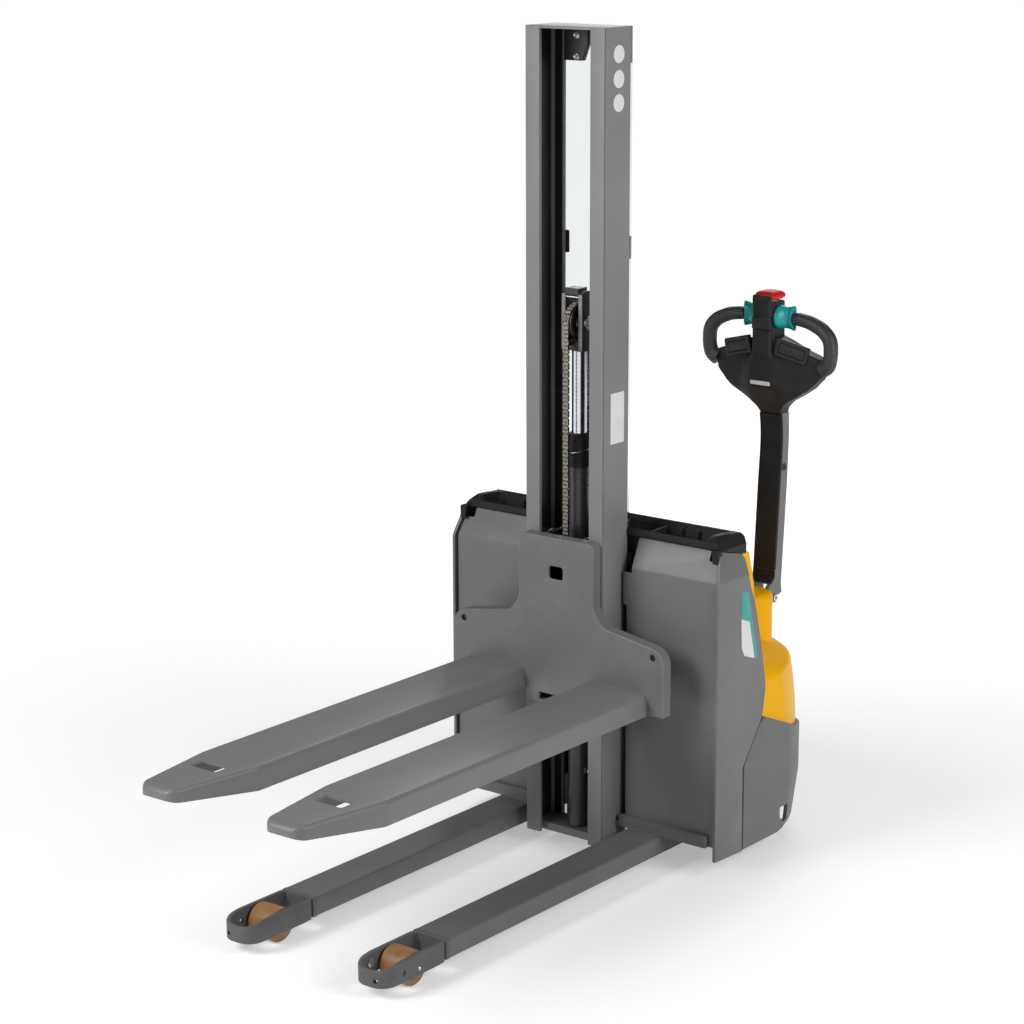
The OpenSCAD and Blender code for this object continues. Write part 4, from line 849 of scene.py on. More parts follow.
# Blind nuts. Short black sleeves pressed into the back of the pan, one behind each of the two holes in its
# shoulders; they close the holes, and their black paint is painted shade for the dark inside of the holes.
nuts = [turned([(PAN_FRONT + 7.5, 0.3), (PAN_FRONT + 7.5, 12), (PAN_FRONT + 19, 12), (PAN_FRONT + 20, 11),
                (PAN_FRONT + 20, 0.3)], (side * SHOULDER_HOLE_X, 0, SHOULDER_HOLE_Z), "y", 24)
        for _, side in SIDES]
piece("carriage_blind_nuts", nuts, BLACK_PAINT, "carriage")

# Roller carriers. Two flame-cut plates behind the pan with a stub shaft for each roller and the chain's
# anchor block between them; black painted.
keep("roller_carriers", BLACK_PAINT, 1.5)
anchor = [turned([(388, 3), (389, 9), (397.8, 9), (397.8, 3)], (0, FRONT_RUN_Y, 0), "z", 6)]
piece("chain_anchor_nut", anchor, ZINC, "carriage")

# Mast rollers. Thick-walled ball bearings without flanges: a ground outer ring, a seal and an inner ring on
# the stub shaft, with three small dots on its outer face.
ROLLER_IN, ROLLER_OUT, ROLLER_R, ROLLER_Y = 74.0, 103.5, 40.2, 51.5
# Ground bearing steel: bright grey with a soft ring-shaped sheen.
BEARING_STEEL = finish("ground_bearing_steel", "#A7A9AC", "#8E9093", 0.24, 0.8, 0.008, patch_mm=20,
                       Metallic=1.0)
ring = [(ROLLER_IN, 28), (ROLLER_IN, 38.6), (ROLLER_IN + 1.8, ROLLER_R - 0.1),
        (ROLLER_OUT - 1.8, ROLLER_R - 0.1), (ROLLER_OUT, 38.6), (ROLLER_OUT, 28), (ROLLER_OUT - 3, 27),
        (ROLLER_OUT - 3, 20), (ROLLER_OUT, 19.5), (ROLLER_OUT, 15.2), (ROLLER_IN, 15.2), (ROLLER_IN, 19.5),
        (ROLLER_IN + 3, 20), (ROLLER_IN + 3, 27)]
for row, z in (("upper", 755.0), ("lower", 485.0)):
    for tag, side in SIDES:
        dots = [turned([(ROLLER_IN + 3.4, 2.4), (ROLLER_IN + 2.2, 2.2), (ROLLER_IN + 2.2, 0.2)],
                       (0, ROLLER_Y + 23.5 * math.cos(a), z + 23.5 * math.sin(a)), "x", 10)
                for a in np.arange(3) * 2.0944]
        piece(f"mast_roller_{row}_{tag}",
              on_side(side, [turned(ring, (0, ROLLER_Y, z), "x", 64, True)] + dots), BEARING_STEEL,
              f"roller_{row[0]}{tag[0]}", [f"roller_{row}_{tag}"])

# Forks. Each is a U-shaped channel folded from 6 mm plate with a wide bend along both edges, a closed nose
# that tapers and slopes, and an oblong window near the tip; welded to the pan and powder coated.
FORK_IN, FORK_W, FORK_TOP, FORK_LOW = 94.5, 172.5, 465.0, 409.0
FORK_MID, FORK_OUT = FORK_IN + FORK_W / 2, FORK_IN + FORK_W
ROOT_Y, SHOULDER_Y, FORK_TIP = -33.0, -960.0, -1188.0
TIP_HALF, TIP_R, BEND_R, FORK_WALL, SEAM_Y = 48.0, 26.0, 11.0, 6.0, -957.0
# The same coat on the forks, rubbed by pallets: a little lighter and glossier, in streaks along them.
FORK_POWDER = finish("powder_coated_fork", "#7B7B7C", "#717172", 0.42, 5.0, 0.05, patch_mm=210,
                     stretch=(1, 0.35, 1))


def fork_section(y, wall=0.0):
    """Fork's outline at y, seen from ahead: a rectangle whose two upper corners are bends of BEND_R; towards
    the nose it narrows, its underside rises and its end is round; a ground seam dips by 0.7 mm at SEAM_Y.
    wall draws it in on three sides."""
    nose = np.clip((SHOULDER_Y - y) / (SHOULDER_Y - FORK_TIP), 0, 1)
    tip = np.clip((FORK_TIP + TIP_R - y) / TIP_R, 0, 1)
    seam = 0.7 * math.exp(-((y - SEAM_Y) / 1.3) ** 2)
    half_w = FORK_W / 2 + (TIP_HALF - FORK_W / 2) * nose - 22 * (1 - math.sqrt(1 - tip ** 2)) - wall - seam
    low = FORK_LOW + 26 * nose + 4 * tip ** 2 - (0.0 if not wall else 1.0)
    top = FORK_TOP - 17 * (1 - math.sqrt(1 - tip ** 2)) - wall - seam
    bends = [1.0, 1.0, BEND_R - wall, BEND_R - wall] if wall else [2.0, 2.0, BEND_R, BEND_R]
    line = rounded([(-half_w, low), (half_w, low), (half_w, top), (-half_w, top)], np.array(bends), 6)
    return ring_at(line + (FORK_MID, 0), "xz", y)


stations = np.concatenate([np.linspace(ROOT_Y, SHOULDER_Y + 30, 24),
                           np.linspace(SHOULDER_Y + 20, FORK_TIP + TIP_R + 2, 30),
                           np.linspace(SEAM_Y - 4, SEAM_Y + 4, 9),
                           FORK_TIP + TIP_R * (1 - np.sin(np.linspace(0, 0.975, 10) * math.pi / 2))])
stations = np.sort(stations)[::-1]
outer = [fork_section(y) for y in stations]
hollow = [fork_section(y, FORK_WALL) for y in (ROOT_Y + 1, SHOULDER_Y, -1100, -1166)]
window = block((FORK_MID - 39, -1045, 430), (FORK_MID + 39, -1003, 480), 0.5, 6.0)
seams = []
for tag, side in SIDES:
    fork = piece(f"fork_body_{tag}", on_side(side, [loft(outer)]), FORK_POWDER, "carriage",
                 [f"fork_{tag}"])
    cut(fork, on_side(side, [loft(hollow)]))
    cut(fork, on_side(side, [window]))
    seams += on_side(side, [bead((FORK_IN + 6, ROOT_Y - 0.5, FORK_TOP - 0.5),
                                 (FORK_OUT - 6, ROOT_Y - 0.5, FORK_TOP - 0.5), 1.6),
                            bead((FORK_IN - 0.2, ROOT_Y - 0.5, 412), (FORK_IN - 0.2, ROOT_Y - 0.5, 456), 1.6),
                            bead((FORK_OUT + 0.2, ROOT_Y - 0.5, 414),
                                 (FORK_OUT + 0.2, ROOT_Y - 0.5, 456), 1.6)])
piece("fork_weld_beads", seams, FORK_POWDER, "carriage")

# Front panels. Steel sheets folded back at the top in a soft bend, hung beside the mast on a small lug and
# screwed to the side plates; powder coated.
PANEL_Y, PANEL_T, FOLD_Z, FOLD_R, PANEL_LEAN = 75.0, 4.0, 727.0, 16.0, math.atan(31 / 70)
# Powder coat on thin sheet, where the broad soft patches of a hand-held gun show most.
SHEET_POWDER = finish("powder_coated_sheet", "#747475", "#6B6B6C", 0.44, 5.0, 0.05, patch_mm=230)


def folded(points, axis, origin, angle, bend_r, side=1.0):
    """Bends a flat sheet about a line at height FOLD_Z: past it each point goes on along an arc of bend_r and
    then straight at the angle, at its own depth in the sheet. axis is the way the sheet leans."""
    out = points.copy()
    a = "xyz".index(axis)
    s = points[:, 2] - (FOLD_Z - bend_r * math.tan(angle / 2))
    depth = (points[:, a] - origin) * side
    arc_len = bend_r * angle
    turn = np.clip(s / bend_r, 0, angle)
    rest = np.maximum(s - arc_len, 0)
    past = s > 0
    lean = bend_r * (1 - np.cos(turn)) + rest * math.sin(angle) + depth * np.cos(turn)
    rise = bend_r * np.sin(turn) + rest * math.cos(angle) - depth * np.sin(turn)
    out[past, a] = origin + side * lean[past]
    out[past, 2] = (FOLD_Z - bend_r * math.tan(angle / 2) + rise)[past]
    return out


panel = rounded([(131, 91), (388, 91), (388, 727), (380, 778), (352, 778), (352, 803.5), (145, 803.5),
                 (145, 715), (121, 715), (121, 634), (131, 634)],
                np.array([2, 2, 3, 4, 4, 4, 5, 1.5, 3, 3, 1.5], float), 3)
creases = [((100, FOLD_Z + d), (400, FOLD_Z + d)) for d in np.linspace(-5, 5, 9)]
points, faces = slab(panel, "xz", PANEL_Y, PANEL_Y + PANEL_T, 0.8, creases=creases)
panel = (folded(points, "y", PANEL_Y, PANEL_LEAN, FOLD_R), faces)
pair("front_sheet", panel, SHEET_POWDER, "front_panel", sharp=24)

# Side plates. Laser-cut 8 mm plates with one long curved rear edge, leaning in above a soft fold; screwed to
# the base frame and powder coated.
SIDE_IN, SIDE_OUT, SIDE_LEAN = 392.0, 400.0, math.atan(16.4 / 73)
rear_edge = [(183, 41), (181, 253), (262, 362), (275, 436), (257, 524), (242, 584), (223, 653), (207, 687),
             (197, 715), (193.5, 727), (193, 742), (189.5, 768), (180, 781), (163, 785), (93, 802)]
cheek = rounded([(67, 46)] + rear_edge + [(67, 727)],
                np.array([2, 4, 10, 60, 60, 60, 40, 40, 30, 30, 30, 30, 12, 20, 20, 12, 60], float), 3)
creases = [((60, FOLD_Z + d), (270, FOLD_Z + d)) for d in np.linspace(-4, 4, 7)]
points, faces = slab(cheek, "yz", SIDE_IN, SIDE_OUT, 1.2, creases=creases)
cheek = (folded(points, "x", SIDE_OUT, SIDE_LEAN, 30.0, -1.0), faces)
pair("side_sheet", cheek, SHEET_POWDER, "side_plate", sharp=24)

# Blank label on the right side plate: a slanting teal band and a white field below it, both printed film in
# real life and plain here.
TEAL_FILM = finish("teal_vinyl_film", "#2FA39C", "#2B9A94", 0.32, 2.0, 0.004, patch_mm=60)
band = slab(rounded([(162.7, 692), (191, 686), (202, 646), (235.7, 513), (222, 516.5), (197, 610),
                     (162.7, 624)], 2), "yz", SIDE_OUT, SIDE_OUT + 0.3, 0.1)
field = slab(rounded([(162.8, 625.7), (198, 612), (222, 516.5), (178, 532.5), (166.3, 554)], 2),
             "yz", SIDE_OUT, SIDE_OUT + 0.5, 0.1)
piece("side_label_band", [band], TEAL_FILM, "chassis")
piece("side_label_field", [field], VINYL, "chassis")


# Rear bumper. A skirt of thick polyethylene round the rear, moulded with a crease low down, below which it
# tucks in, and with an eye hole at each side for lashing; bolted to the base frame.
HALF_W, BOW_Y, BOW_D = 400.0, 390.0, 250.0
CREASE_Z, CREASE_EASE, TUCK, SKIRT_FOOT, SKIRT_FRONT = 158.0, 14, 31.0, 40, 184.5
# Rotation-moulded polyethylene: grey, waxy, with a fine matt skin.
SKIRT_PE = finish("moulded_polyethylene", "#757576", "#6D6D6F", 0.50, 1.6, 0.04, patch_mm=180)


def bow(x):
    """Depth of the rear bow: BOW_Y + BOW_D * (1 - (|x| / HALF_W) ** 4) ** (1 / 1.2)."""
    return BOW_Y + BOW_D * np.clip(1 - (np.abs(x) / HALF_W) ** 4, 0, 1) ** (1 / 1.2)


def wrap(front_y, inset_mm, tuck_mm=0.0, count=72):
    """Plan line of the rear: up the right side from front_y, round the bow, down the left side, drawn in by
    inset_mm; the bow is moved forward by tuck_mm."""
    a = np.linspace(math.pi / 2, -math.pi / 2, count)
    x = HALF_W * np.sin(a)
    arc = np.stack([x * (HALF_W - inset_mm) / HALF_W, bow(x) - inset_mm - tuck_mm], 1)
    run_y = np.linspace(front_y, arc[0, 1], 10)[:-1]
    sides = np.stack([np.full(9, HALF_W - inset_mm), run_y], 1)
    return np.vstack([sides, arc, sides[::-1] * (-1, 1)])


def tucked(z):
    """How far the skirt tucks in at height z: a straight run below the crease, eased over
    CREASE_EASE to either side of it."""
    below = (CREASE_Z - z) / (CREASE_Z - SKIRT_FOOT)
    ease = CREASE_EASE / (CREASE_Z - SKIRT_FOOT)
    return TUCK * np.where(below > ease, below, np.where(below < -ease, 0, (below + ease) ** 2 / (4 * ease)))


line = wrap(187.0, 0)
top = np.interp(line[:, 1], [184.5, 265.5, 272, 427, 640], [252, 361, 358.5, 295.5, 243])
low = np.interp(line[:, 1], [183, 375, 402, 650], [43, 43, 52, 52])
rings = []
for k in range(len(line)):
    outer = ([(0, low[k] + 1.5)]
             + [(0, z) for z in np.concatenate([low[k] + [8.0, 30, 60], np.linspace(136, 176, 9)])])
    rim = [(0, top[k] - 3.0), (0.9, top[k] - 0.9), (3, top[k]), (5.5, top[k]), (7.3, top[k] - 0.8),
           (8, top[k] - 2.6)]
    inner = [(8, z) for z in np.concatenate([np.linspace(176, 136, 9), low[k] + [60.0, 30, 8]])]
    foot = [(8, low[k] + 1.2), (6.5, low[k]), (1.5, low[k])]
    section = np.array(outer + rim + inner + foot)
    ring = np.empty((len(section), 3))
    ring[:, 2] = section[:, 1]
    for j, (d, z) in enumerate(section):
        x, y = line[k]
        sideways = (HALF_W - d) / HALF_W
        on_bow = 9 <= k < len(line) - 9
        share = (y - SKIRT_FRONT) / (BOW_Y - SKIRT_FRONT)
        if on_bow:
            ring[j, :2] = x * sideways, y - d - tucked(z)
        else:
            ring[j, :2] = x * sideways, y - share * (d + tucked(z))
    rings.append(ring)
bumper = piece("rear_skirt", [loft(rings)], SKIRT_PE, "chassis", ["rear_bumper"], sharp=40)
eye = slab(rounded([(349, 105), (349, 79), (364, 64), (388, 64), (388, 105)], 4), "yz", 376, 404, 0.3)
cut(bumper, both_sides([eye]), 40)

# Skirt seams. A black rubber strip along the joint between each side plate and the skirt: painted shade that
# draws the dark line of the gap there.
seam = [(183.9, 44), (186.9, 44), (186.9, 251.6), (267.5, 360), (264, 362.2), (183.9, 254)]
seal = slab(seam, "yz", 391.7, 399.0, 0.1)
piece("skirt_seam_shade_strips", both_sides([seal]), RUBBER, "chassis")

# Rear cover. The yellow hood over drive and battery, vacuum-formed from 4 mm sheet: a bulging skirt, a shelf
# at tiller height and an upright back; it lifts off as one piece.
# Glossy formed ABS in signal yellow, with a shallow gloss and very slight waves.
YELLOW_ABS = finish("formed_yellow_abs", "#FFBE08", "#FDB804", 0.36, 14.0, 0.05, patch_mm=260, spread=0.03,
                    **{"Specular IOR Level": 0.12})
COVER_HALF, HOOD_WALL = 391, 0.004
SHELF_Z, COVER_MID_Y, BLEND = 490.0, 150.0, 0.25
STOP_AT, KEY_AT, DOME_AT = (-110.0, 380.0), (-190.0, 380.0), (215.0, 475.0)
angles = np.concatenate([np.linspace(0.0, 0.16, 8), np.linspace(0.175, 0.60, 44),
                         np.linspace(0.62, math.pi / 2, 40)])
angles = np.concatenate([angles, math.pi - angles[-2::-1]])


def reach(outline):
    """Distance from (0, COVER_MID_Y) to an outline in each of the angles' directions."""
    turn = np.arctan2(outline[:, 1] - COVER_MID_Y, outline[:, 0])
    return np.interp(angles, turn, np.hypot(outline[:, 0], outline[:, 1] - COVER_MID_Y))


def upright(half_w, rear_y, corner=24.0):
    """Plan line of the cover's upper body: a rectangle with round rear corners."""
    bend = np.linspace(0, math.pi / 2, 12)
    arc = np.stack([half_w - corner * (1 - np.cos(bend)), rear_y - corner * (1 - np.sin(bend))], 1)
    side = np.stack([np.full(12, half_w), np.linspace(COVER_MID_Y, rear_y - corner, 13)[:-1]], 1)
    rear = np.stack([np.linspace(half_w - corner, corner - half_w, 160), np.full(160, rear_y)], 1)[1:-1]
    return reach(np.vstack([side, arc, rear, arc[::-1] * (-1, 1), side[::-1] * (-1, 1)]))


def skirt_line(inset_mm):
    """Reach from the cover's middle to the skirt's plan line at each angle, with the line inset_mm in."""
    return reach(wrap(COVER_MID_Y, inset_mm, count=200))


rows = [(skirt_line(d), z) for d, z in ((9.5, 228), (8.5, 229.5), (8.5, 262), (8.5, 300), (10, 336),
                                        (12.6, 372), (16, 408), (18.8, 430), (20.8, 440), (24.5, 445.5),
                                        (36, 455), (50, 465), (64, 475), (76, 484), (82, 487.8), (88, 489.5),
                                        (96, SHELF_Z))]
# Above z 440 the skirt grows into the upright body: log(exp(a) + exp(b)) is a smooth larger of the two
for k, (skin, z) in enumerate(rows):
    if z > 440:
        stand = upright(COVER_HALF, 270.0, 24) - 60 * max(0.0, (455 - z) / 15)
        rows[k] = (skin + np.log1p(np.exp(np.clip(BLEND * (stand - skin), -50, 50))) / BLEND, z)
edge_of_shelf = rows[-1][0]
for step, rise in ((0.25, 0), (0.5, 0), (0.75, 0), (0.9, 0.3), (1.0, 2.0)):
    rows.append((edge_of_shelf + (upright(COVER_HALF, 290, 30) - edge_of_shelf) * step, SHELF_Z + rise))
rows += [(upright(COVER_HALF, y, r), z)
         for y, z, r in ((281, 494, 24), (274, 501, 24), (268.6, 512, 24), (265.5, 530, 21),
                         (259, 600, 12), (247.5, 653, 9), (233.5, 702, 9), (227, 727, 9))]
rows += [(upright(COVER_HALF - 0.1 * (z - 727), y, 9), z)
         for y, z in ((222.5, 752), (219, 772), (217, 776), (212.5, 777.5), (194, 777.5))]
rings = [np.stack([r * np.cos(angles), COVER_MID_Y + r * np.sin(angles), np.full(len(angles), z)], 1)
         for r, z in rows]
rings[-1][:, 1] = np.minimum(rings[-1][:, 1], 194)
cover = piece("rear_hood", [loft(rings, closed=False)], YELLOW_ABS, "chassis",
              ["rear_cover"], sharp=50, solid=False)
wall = cover.modifiers.new("wall", "SOLIDIFY")
wall.thickness, wall.offset = HOOD_WALL, -1.0
cut(cover, [turned([(470, r), (500, r)], (*at, 0), "z", 40)
            for at, r in ((STOP_AT, 8.5), (KEY_AT, 11.4), (DOME_AT, 63.0))], 50)

# Storage tray. A black trough across the top for papers and straps, open behind the mast, with a low front
# rim, a higher rear rim, three dividers, six short ribs and solid ends that close the gap above the side
# plates.
TRAY_END, TRAY_FLOOR = 383.6, 772.0


def tray_section(x):
    """Closed outline (y, z) of the tray at x: past 330 mm the trough's floor climbs to the top, past 340 mm
    the rear lip is drawn in, and past 358 mm the top slopes down to the end."""
    shut = np.clip((abs(x) - 330) / 14, 0, 1)
    shut = shut * shut * (3 - 2 * shut)
    roof = 830 - 30 / 25.6 * max(0.0, abs(x) - 358)
    inner = np.array([(103, 817), (107, 812), (119, 810), (123, 776), (127, TRAY_FLOOR), (180, TRAY_FLOOR),
                      (184, 776), (190, 814), (199, 823)])
    closed = np.array([(103, 821), (107, 823), (119, 829), (128, 829), (142, 828), (160, 827), (175, 825),
                       (190, 823), (199, 822)])
    line = np.vstack([[(99, 800), (97.6, 802), (97.5, 812), (98.5, 816.5), (100.5, 818)],
                      inner + (closed - inner) * shut, [(203, 823.5), (208, 822), (212, 817.5), (236, 783),
                                                        (237, 779.5), (235.5, 776.5), (231, 773),
                                                        (228, 772.6), (222, 777.8), (190, 779), (163, 784.5),
                                                        (108, 799)]])
    line[:, 0] = np.minimum(line[:, 0], 238 - 34 * np.clip((abs(x) - 340) / 43.6, 0, 1))
    line[:, 1] = np.minimum(line[:, 1], roof)
    return line


stations = np.concatenate([np.linspace(-TRAY_END, -358, 6), np.linspace(-352, -326, 14),
                           np.linspace(-318, 318, 40), np.linspace(326, 352, 14),
                           np.linspace(358, TRAY_END, 6)])
trough = loft([ring_at(tray_section(x), "yz", x) for x in stations])
tub = rounded([(115.5, 800), (115.5, 765.5), (191.5, 765.5), (191.5, 792), (189.5, 792), (189.5, 768.5),
               (117.5, 768.5), (117.5, 800)], 1.0, 2)
ends = [block((min(side * 342, side * 346), 115.5, 765.5), (max(side * 342, side * 346), 191.5, 790), 1.0)
        for side in (-1, 1)]
tray = piece("tray_trough", [trough, slab(tub, "yz", -343, 343, 0.3)] + ends, BLACK_PP, "chassis",
             ["storage_tray"], sharp=38)
cut(tray, [block((-114, 80, 740), (114, 112.8, 850), 0.5)])
fins = [block((x - 2, 119, 771), (x + 2, 189, 812), 1.2) for x in (-168, 0, 168)]
fins += [block((side * x - 1.5, 176, 771), (side * x + 1.5, 193, 815), 1.0) for x in (60, 215, 262)
         for side in (-1, 1)]
tabs = both_sides([slab(rounded([(370, 771), (386, 771), (386, 803), (366, 803)], 2.5),
                        "xz", 82.0, 101.0, 1.5),
                   block((106, 104.5, 706), (122.5, 112, 757), 3),
                   block((40, 116.5, 560), (150, 121.5, 764), 1)])
piece("tray_fins", fins + tabs, BLACK_PP, "chassis")
screws = [turned([(802, 0.2), (802, 3.4), (804.4, 4.6), (805.4, 3.6), (805.4, 0.2)],
                 (x, 190, 10), "z", 16)
          for x in (-178, -150)]
piece("tray_screws", screws, ZINC, "chassis")


# Drive unit. A cast gearbox that carries the wheel on a short axle, a flanged motor on top and the steering
# column above; it turns in a slewing ring bolted to the deck.
# Cast iron, primed and sprayed black grey.
CAST_IRON = finish("painted_cast_iron", "#4A4D50", "#3E4144", 0.52, 2.5, 0.15, patch_mm=70)
keep("drive_gearbox", CAST_IRON, 4.0, 3)
keep("drive_motor", ENAMEL, 2.5, 2)
keep("slewing_ring", BEARING_STEEL, 1.5)
DRIVE_AT, DRIVE_R, DRIVE_HALF = (215.0, 475.0), 100.0, 32.5
RING_BOLT_R, LUG_R = 92, 52
fins = [turned([(z, 61.5), (z, 64), (z + 2.5, 64), (z + 2.5, 61.5)], (*DRIVE_AT, 0), "z", 40)
        for z in np.arange(306, 440, 9)]
piece("motor_fins", fins, ENAMEL, "steering")
bolts = [turned([(289.5, 0.3), (289.5, 6), (294, 6), (295, 5), (295, 0.3)],
                (DRIVE_AT[0] + RING_BOLT_R * math.cos(a), DRIVE_AT[1] + RING_BOLT_R * math.sin(a), 0), "z",
                6) for a in np.arange(12) * math.pi / 6]
piece("slewing_ring_bolts", bolts, ZINC, "chassis")

# Drive wheel. A polyurethane tyre bonded on an iron hub, which five wheel bolts round a cap hold to the
# gearbox's axle.
spot = (DRIVE_AT[0], DRIVE_AT[1], DRIVE_R)
piece("drive_tyre", [turned(tread(DRIVE_HALF, DRIVE_R, 74, 7), spot, "x", 96, True)], POLYURETHANE, "drive",
      ["drive_wheel"])
face = turned([(DRIVE_HALF - 3, 74.2), (DRIVE_HALF - 3, 66), (DRIVE_HALF - 12, 62), (DRIVE_HALF - 12, 42),
               (DRIVE_HALF - 4, 36), (DRIVE_HALF - 4, 15.1), (-30, 15.1), (-30, 74.2)], spot, "x", 72, True)
lugs = [turned([(DRIVE_HALF - 12.5, 0.3), (DRIVE_HALF - 12.5, 7), (DRIVE_HALF - 4, 7), (DRIVE_HALF - 3, 5.5),
                (DRIVE_HALF - 3, 0.3)],
               (spot[0], spot[1] + LUG_R * math.cos(a), spot[2] + LUG_R * math.sin(a)), "x", 6)
        for a in np.arange(5) * 1.2566]
piece("drive_hub", [face] + lugs, HUB_STEEL, "drive")

# Castor. A pressed, zinc-plated fork swivelling in a welded tube at the other side, with a polyurethane wheel
# that trails behind its axis.
keep("castor_mount", POWDER_GREY_SHADED, 1.5)
keep("castor_fork", ZINC, 1.2)
CASTOR_AT, CASTOR_R, CASTOR_HALF = (-215.0, 445.0, 65.0), 65.0, 25.0
piece("castor_tyre", [turned(tread(CASTOR_HALF, CASTOR_R, 46, 6), CASTOR_AT, "x", 72, True)], POLYURETHANE,
      "castor_roll", ["castor_wheel"])
piece("castor_hub", [turned(hub(CASTOR_HALF, 46.2, 8.05), CASTOR_AT, "x", 48, True)], HUB_STEEL,
      "castor_roll")

# Steering dome. A yellow moulded cap over the top of the drive unit, which carries the tiller's bracket; its
# top edge is softly rounded.
dome = turned([(470, 41), (470, 58.5), (471.5, 60), (583, 60), (588.5, 59), (593, 56), (596, 51), (597.8, 44),
               (599.2, 32), (600, 14), (600, 0.5)], (*DRIVE_AT, 0), "z", 72)
piece("steering_cap", [dome], YELLOW_ABS, "steering", ["steering_dome"])

# Tiller bracket. A black casting on the steering dome that carries the tiller's pin; the pin's ends stay
# bright.
keep("tiller_bracket", BLACK_PAINT, 2.0, 3)
PIN_Y, PIN_Z, TILLER_X, ARM_HALF = 548.0, 568.0, 215.0, 31.5
ends = [turned([(ARM_HALF + 0.1, 0.3), (ARM_HALF + 0.1, 8.5), (ARM_HALF + 1.0, 9.5), (ARM_HALF + 2.6, 9.5),
                (ARM_HALF + 3.2, 8.5), (ARM_HALF + 3.2, 4), (ARM_HALF + 2.2, 3.4), (ARM_HALF + 2.2, 0.3)],
               (0, PIN_Y, PIN_Z), "x", 28)]
piece("tiller_pin_ends", [(points + (TILLER_X, 0, 0), faces) for points, faces in both_sides(ends)], ZINC,
      "steering")

# Tiller arm. A slim steel channel, sprayed grey, that widens to two cheeks round the pin at its foot; the
# open front is closed by a black moulded cover.
# Sprayed steel of the tiller: the body's grey, smoother and more glossy.
TILLER_GREY = finish("sprayed_tiller_steel", "#727273", "#69696A", 0.40, 4.0, 0.03, patch_mm=120)
keep("tiller_arm", TILLER_GREY, 3.0, 4)
front = smooth([(542.5, 640), (549.5, 750), (557, 864), (562.5, 930), (564, 972),
                (562, 1005), (558, 1031)], 24)
rings = []
for y, z in front:
    line = rounded(rectangle(-ARM_HALF - 0.6, ARM_HALF + 0.6, y - 1.2, y + 6),
                   np.array([5.0, 5.0, 0.5, 0.5]), 5)
    rings.append(ring_at(line + (TILLER_X, 0), "xy", z))
knuckle = slab(rounded([(541.6, 639), (540, 621), (524, 606), (530, 604), (546, 619), (547, 639)], 2), "yz",
               TILLER_X - ARM_HALF - 0.5, TILLER_X + ARM_HALF + 0.5, 2.0)
piece("tiller_front_cover", [loft(rings), knuckle], BLACK_PP, "tiller", ["tiller_cover"],
      sharp=40)
rivet = turned([(ARM_HALF - 0.2, 9.5), (ARM_HALF + 1.6, 9.5), (ARM_HALF + 2.4, 8), (ARM_HALF + 2.4, 5),
                (ARM_HALF + 0.4, 4), (ARM_HALF + 0.4, 0.3)], (0, 577, 897), "x", 20)
piece("tiller_rivets", [(points + (TILLER_X, 0, 0), faces) for points, faces in both_sides([rivet])],
      BLACK_PAINT, "tiller")

# Control head. A two-part moulding in black glass-filled nylon: a spine for the switches between two wings
# that carry the grips.
# Glass-filled nylon: charcoal, finely textured, with a broad dull sheen.
NYLON = finish("textured_black_nylon", "#2C2D2F", "#262729", 0.52, 1.1, 0.05, patch_mm=60,
               **{"Specular IOR Level": 0.18})
HEAD_VOXEL = 0.0022
HEAD_X, BAR_Y, BAR_Z, NECK_HALF, NECK_TOP = 215.0, 548.0, 1277.0, 27.0, 1314.6


def at_head(parts):
    """Moves parts from the head's own middle to its place over the drive."""
    return [(points + (HEAD_X, 0, 0), faces) for points, faces in parts]


def head_section(z):
    """Half width of the wings, front of the spine, front of the wings and rear at z; straight runs in z."""
    wide = np.interp(z, [1033, 1040, 1049, 1066, 1085, 1105, 1133, 1158, 1181, 1190, 1197, 1219, 1226],
                     [31.5, 33, 37, 55, 88, 118, 147, 152, 150, 126, 104, 51, 30])
    front = np.interp(z, [1033, 1105, 1120, 1330], [558, 512, 508, 507])
    shelf = np.interp(z, [1033, 1095, 1230], [558, 520, 520])
    rear = np.interp(z, [1033, 1080, 1130, 1330], [595, 590, 583, 578])
    return wide, front, shelf, rear


rings = []
for z in np.concatenate([[1031.5], np.linspace(1034, 1226, 60)]):
    wide, ridge, shelf, rear = head_section(z)
    across = np.sin(np.linspace(-1, 1, 61) * math.pi / 2)
    away = np.clip((np.abs(across * wide) - 20)
                   / np.interp(z, [1033, 1120, 1175, 1195], [60, 62, 40, 9]), 0, 1)
    hump = (1 + np.cos(math.pi * away)) / 2
    face = shelf + 24 * (wide / 150) * np.abs(across) ** 1.35
    face += (ridge - face) * hump
    face = np.minimum(face, rear - 14)
    line = np.vstack([np.stack([across * wide, face], 1), [(wide, rear - 6), (wide * 0.96, rear),
                                                           (-wide * 0.96, rear), (-wide, rear - 6)]])
    rings.append(ring_at(line, "xy", z))
wings = loft(rings)
rings = []
for z in np.linspace(1150, NECK_TOP, 30):
    _, front, _, rear = head_section(z)
    rings.append(ring_at(rounded(rectangle(-NECK_HALF, NECK_HALF, front, rear), np.array([7, 7, 9, 9.0]), 5),
                         "xy", z))
spine = loft(rings)
lip = slab(rounded(rectangle(-NECK_HALF, NECK_HALF, 506.6, 516.0), np.array([6.5, 6.5, 1, 1.0]), 5), "xy",
           NECK_TOP - 8, 1332.5, 5.0, count=5)
stubs = both_sides([turned([(20, 9), (71, 9), (72, 8)], (0, BAR_Y, BAR_Z), "x", 32)])
head = piece("head_shell", at_head([wings, spine, lip]), NYLON, "tiller", ["control_head"])
grow = head.modifiers.new("one_skin", "REMESH")
grow.mode, grow.voxel_size = "VOXEL", HEAD_VOXEL
soften = head.modifiers.new("soft_edges", "SMOOTH")
soften.factor, soften.iterations = 0.5, 7
pockets = [block((-30, 490, 1247), (30, 516.8, 1280), 0.2, 0.2),
           block((-23, 517.6, 1312), (23, 574, 1350), 0.6, 2.0)]
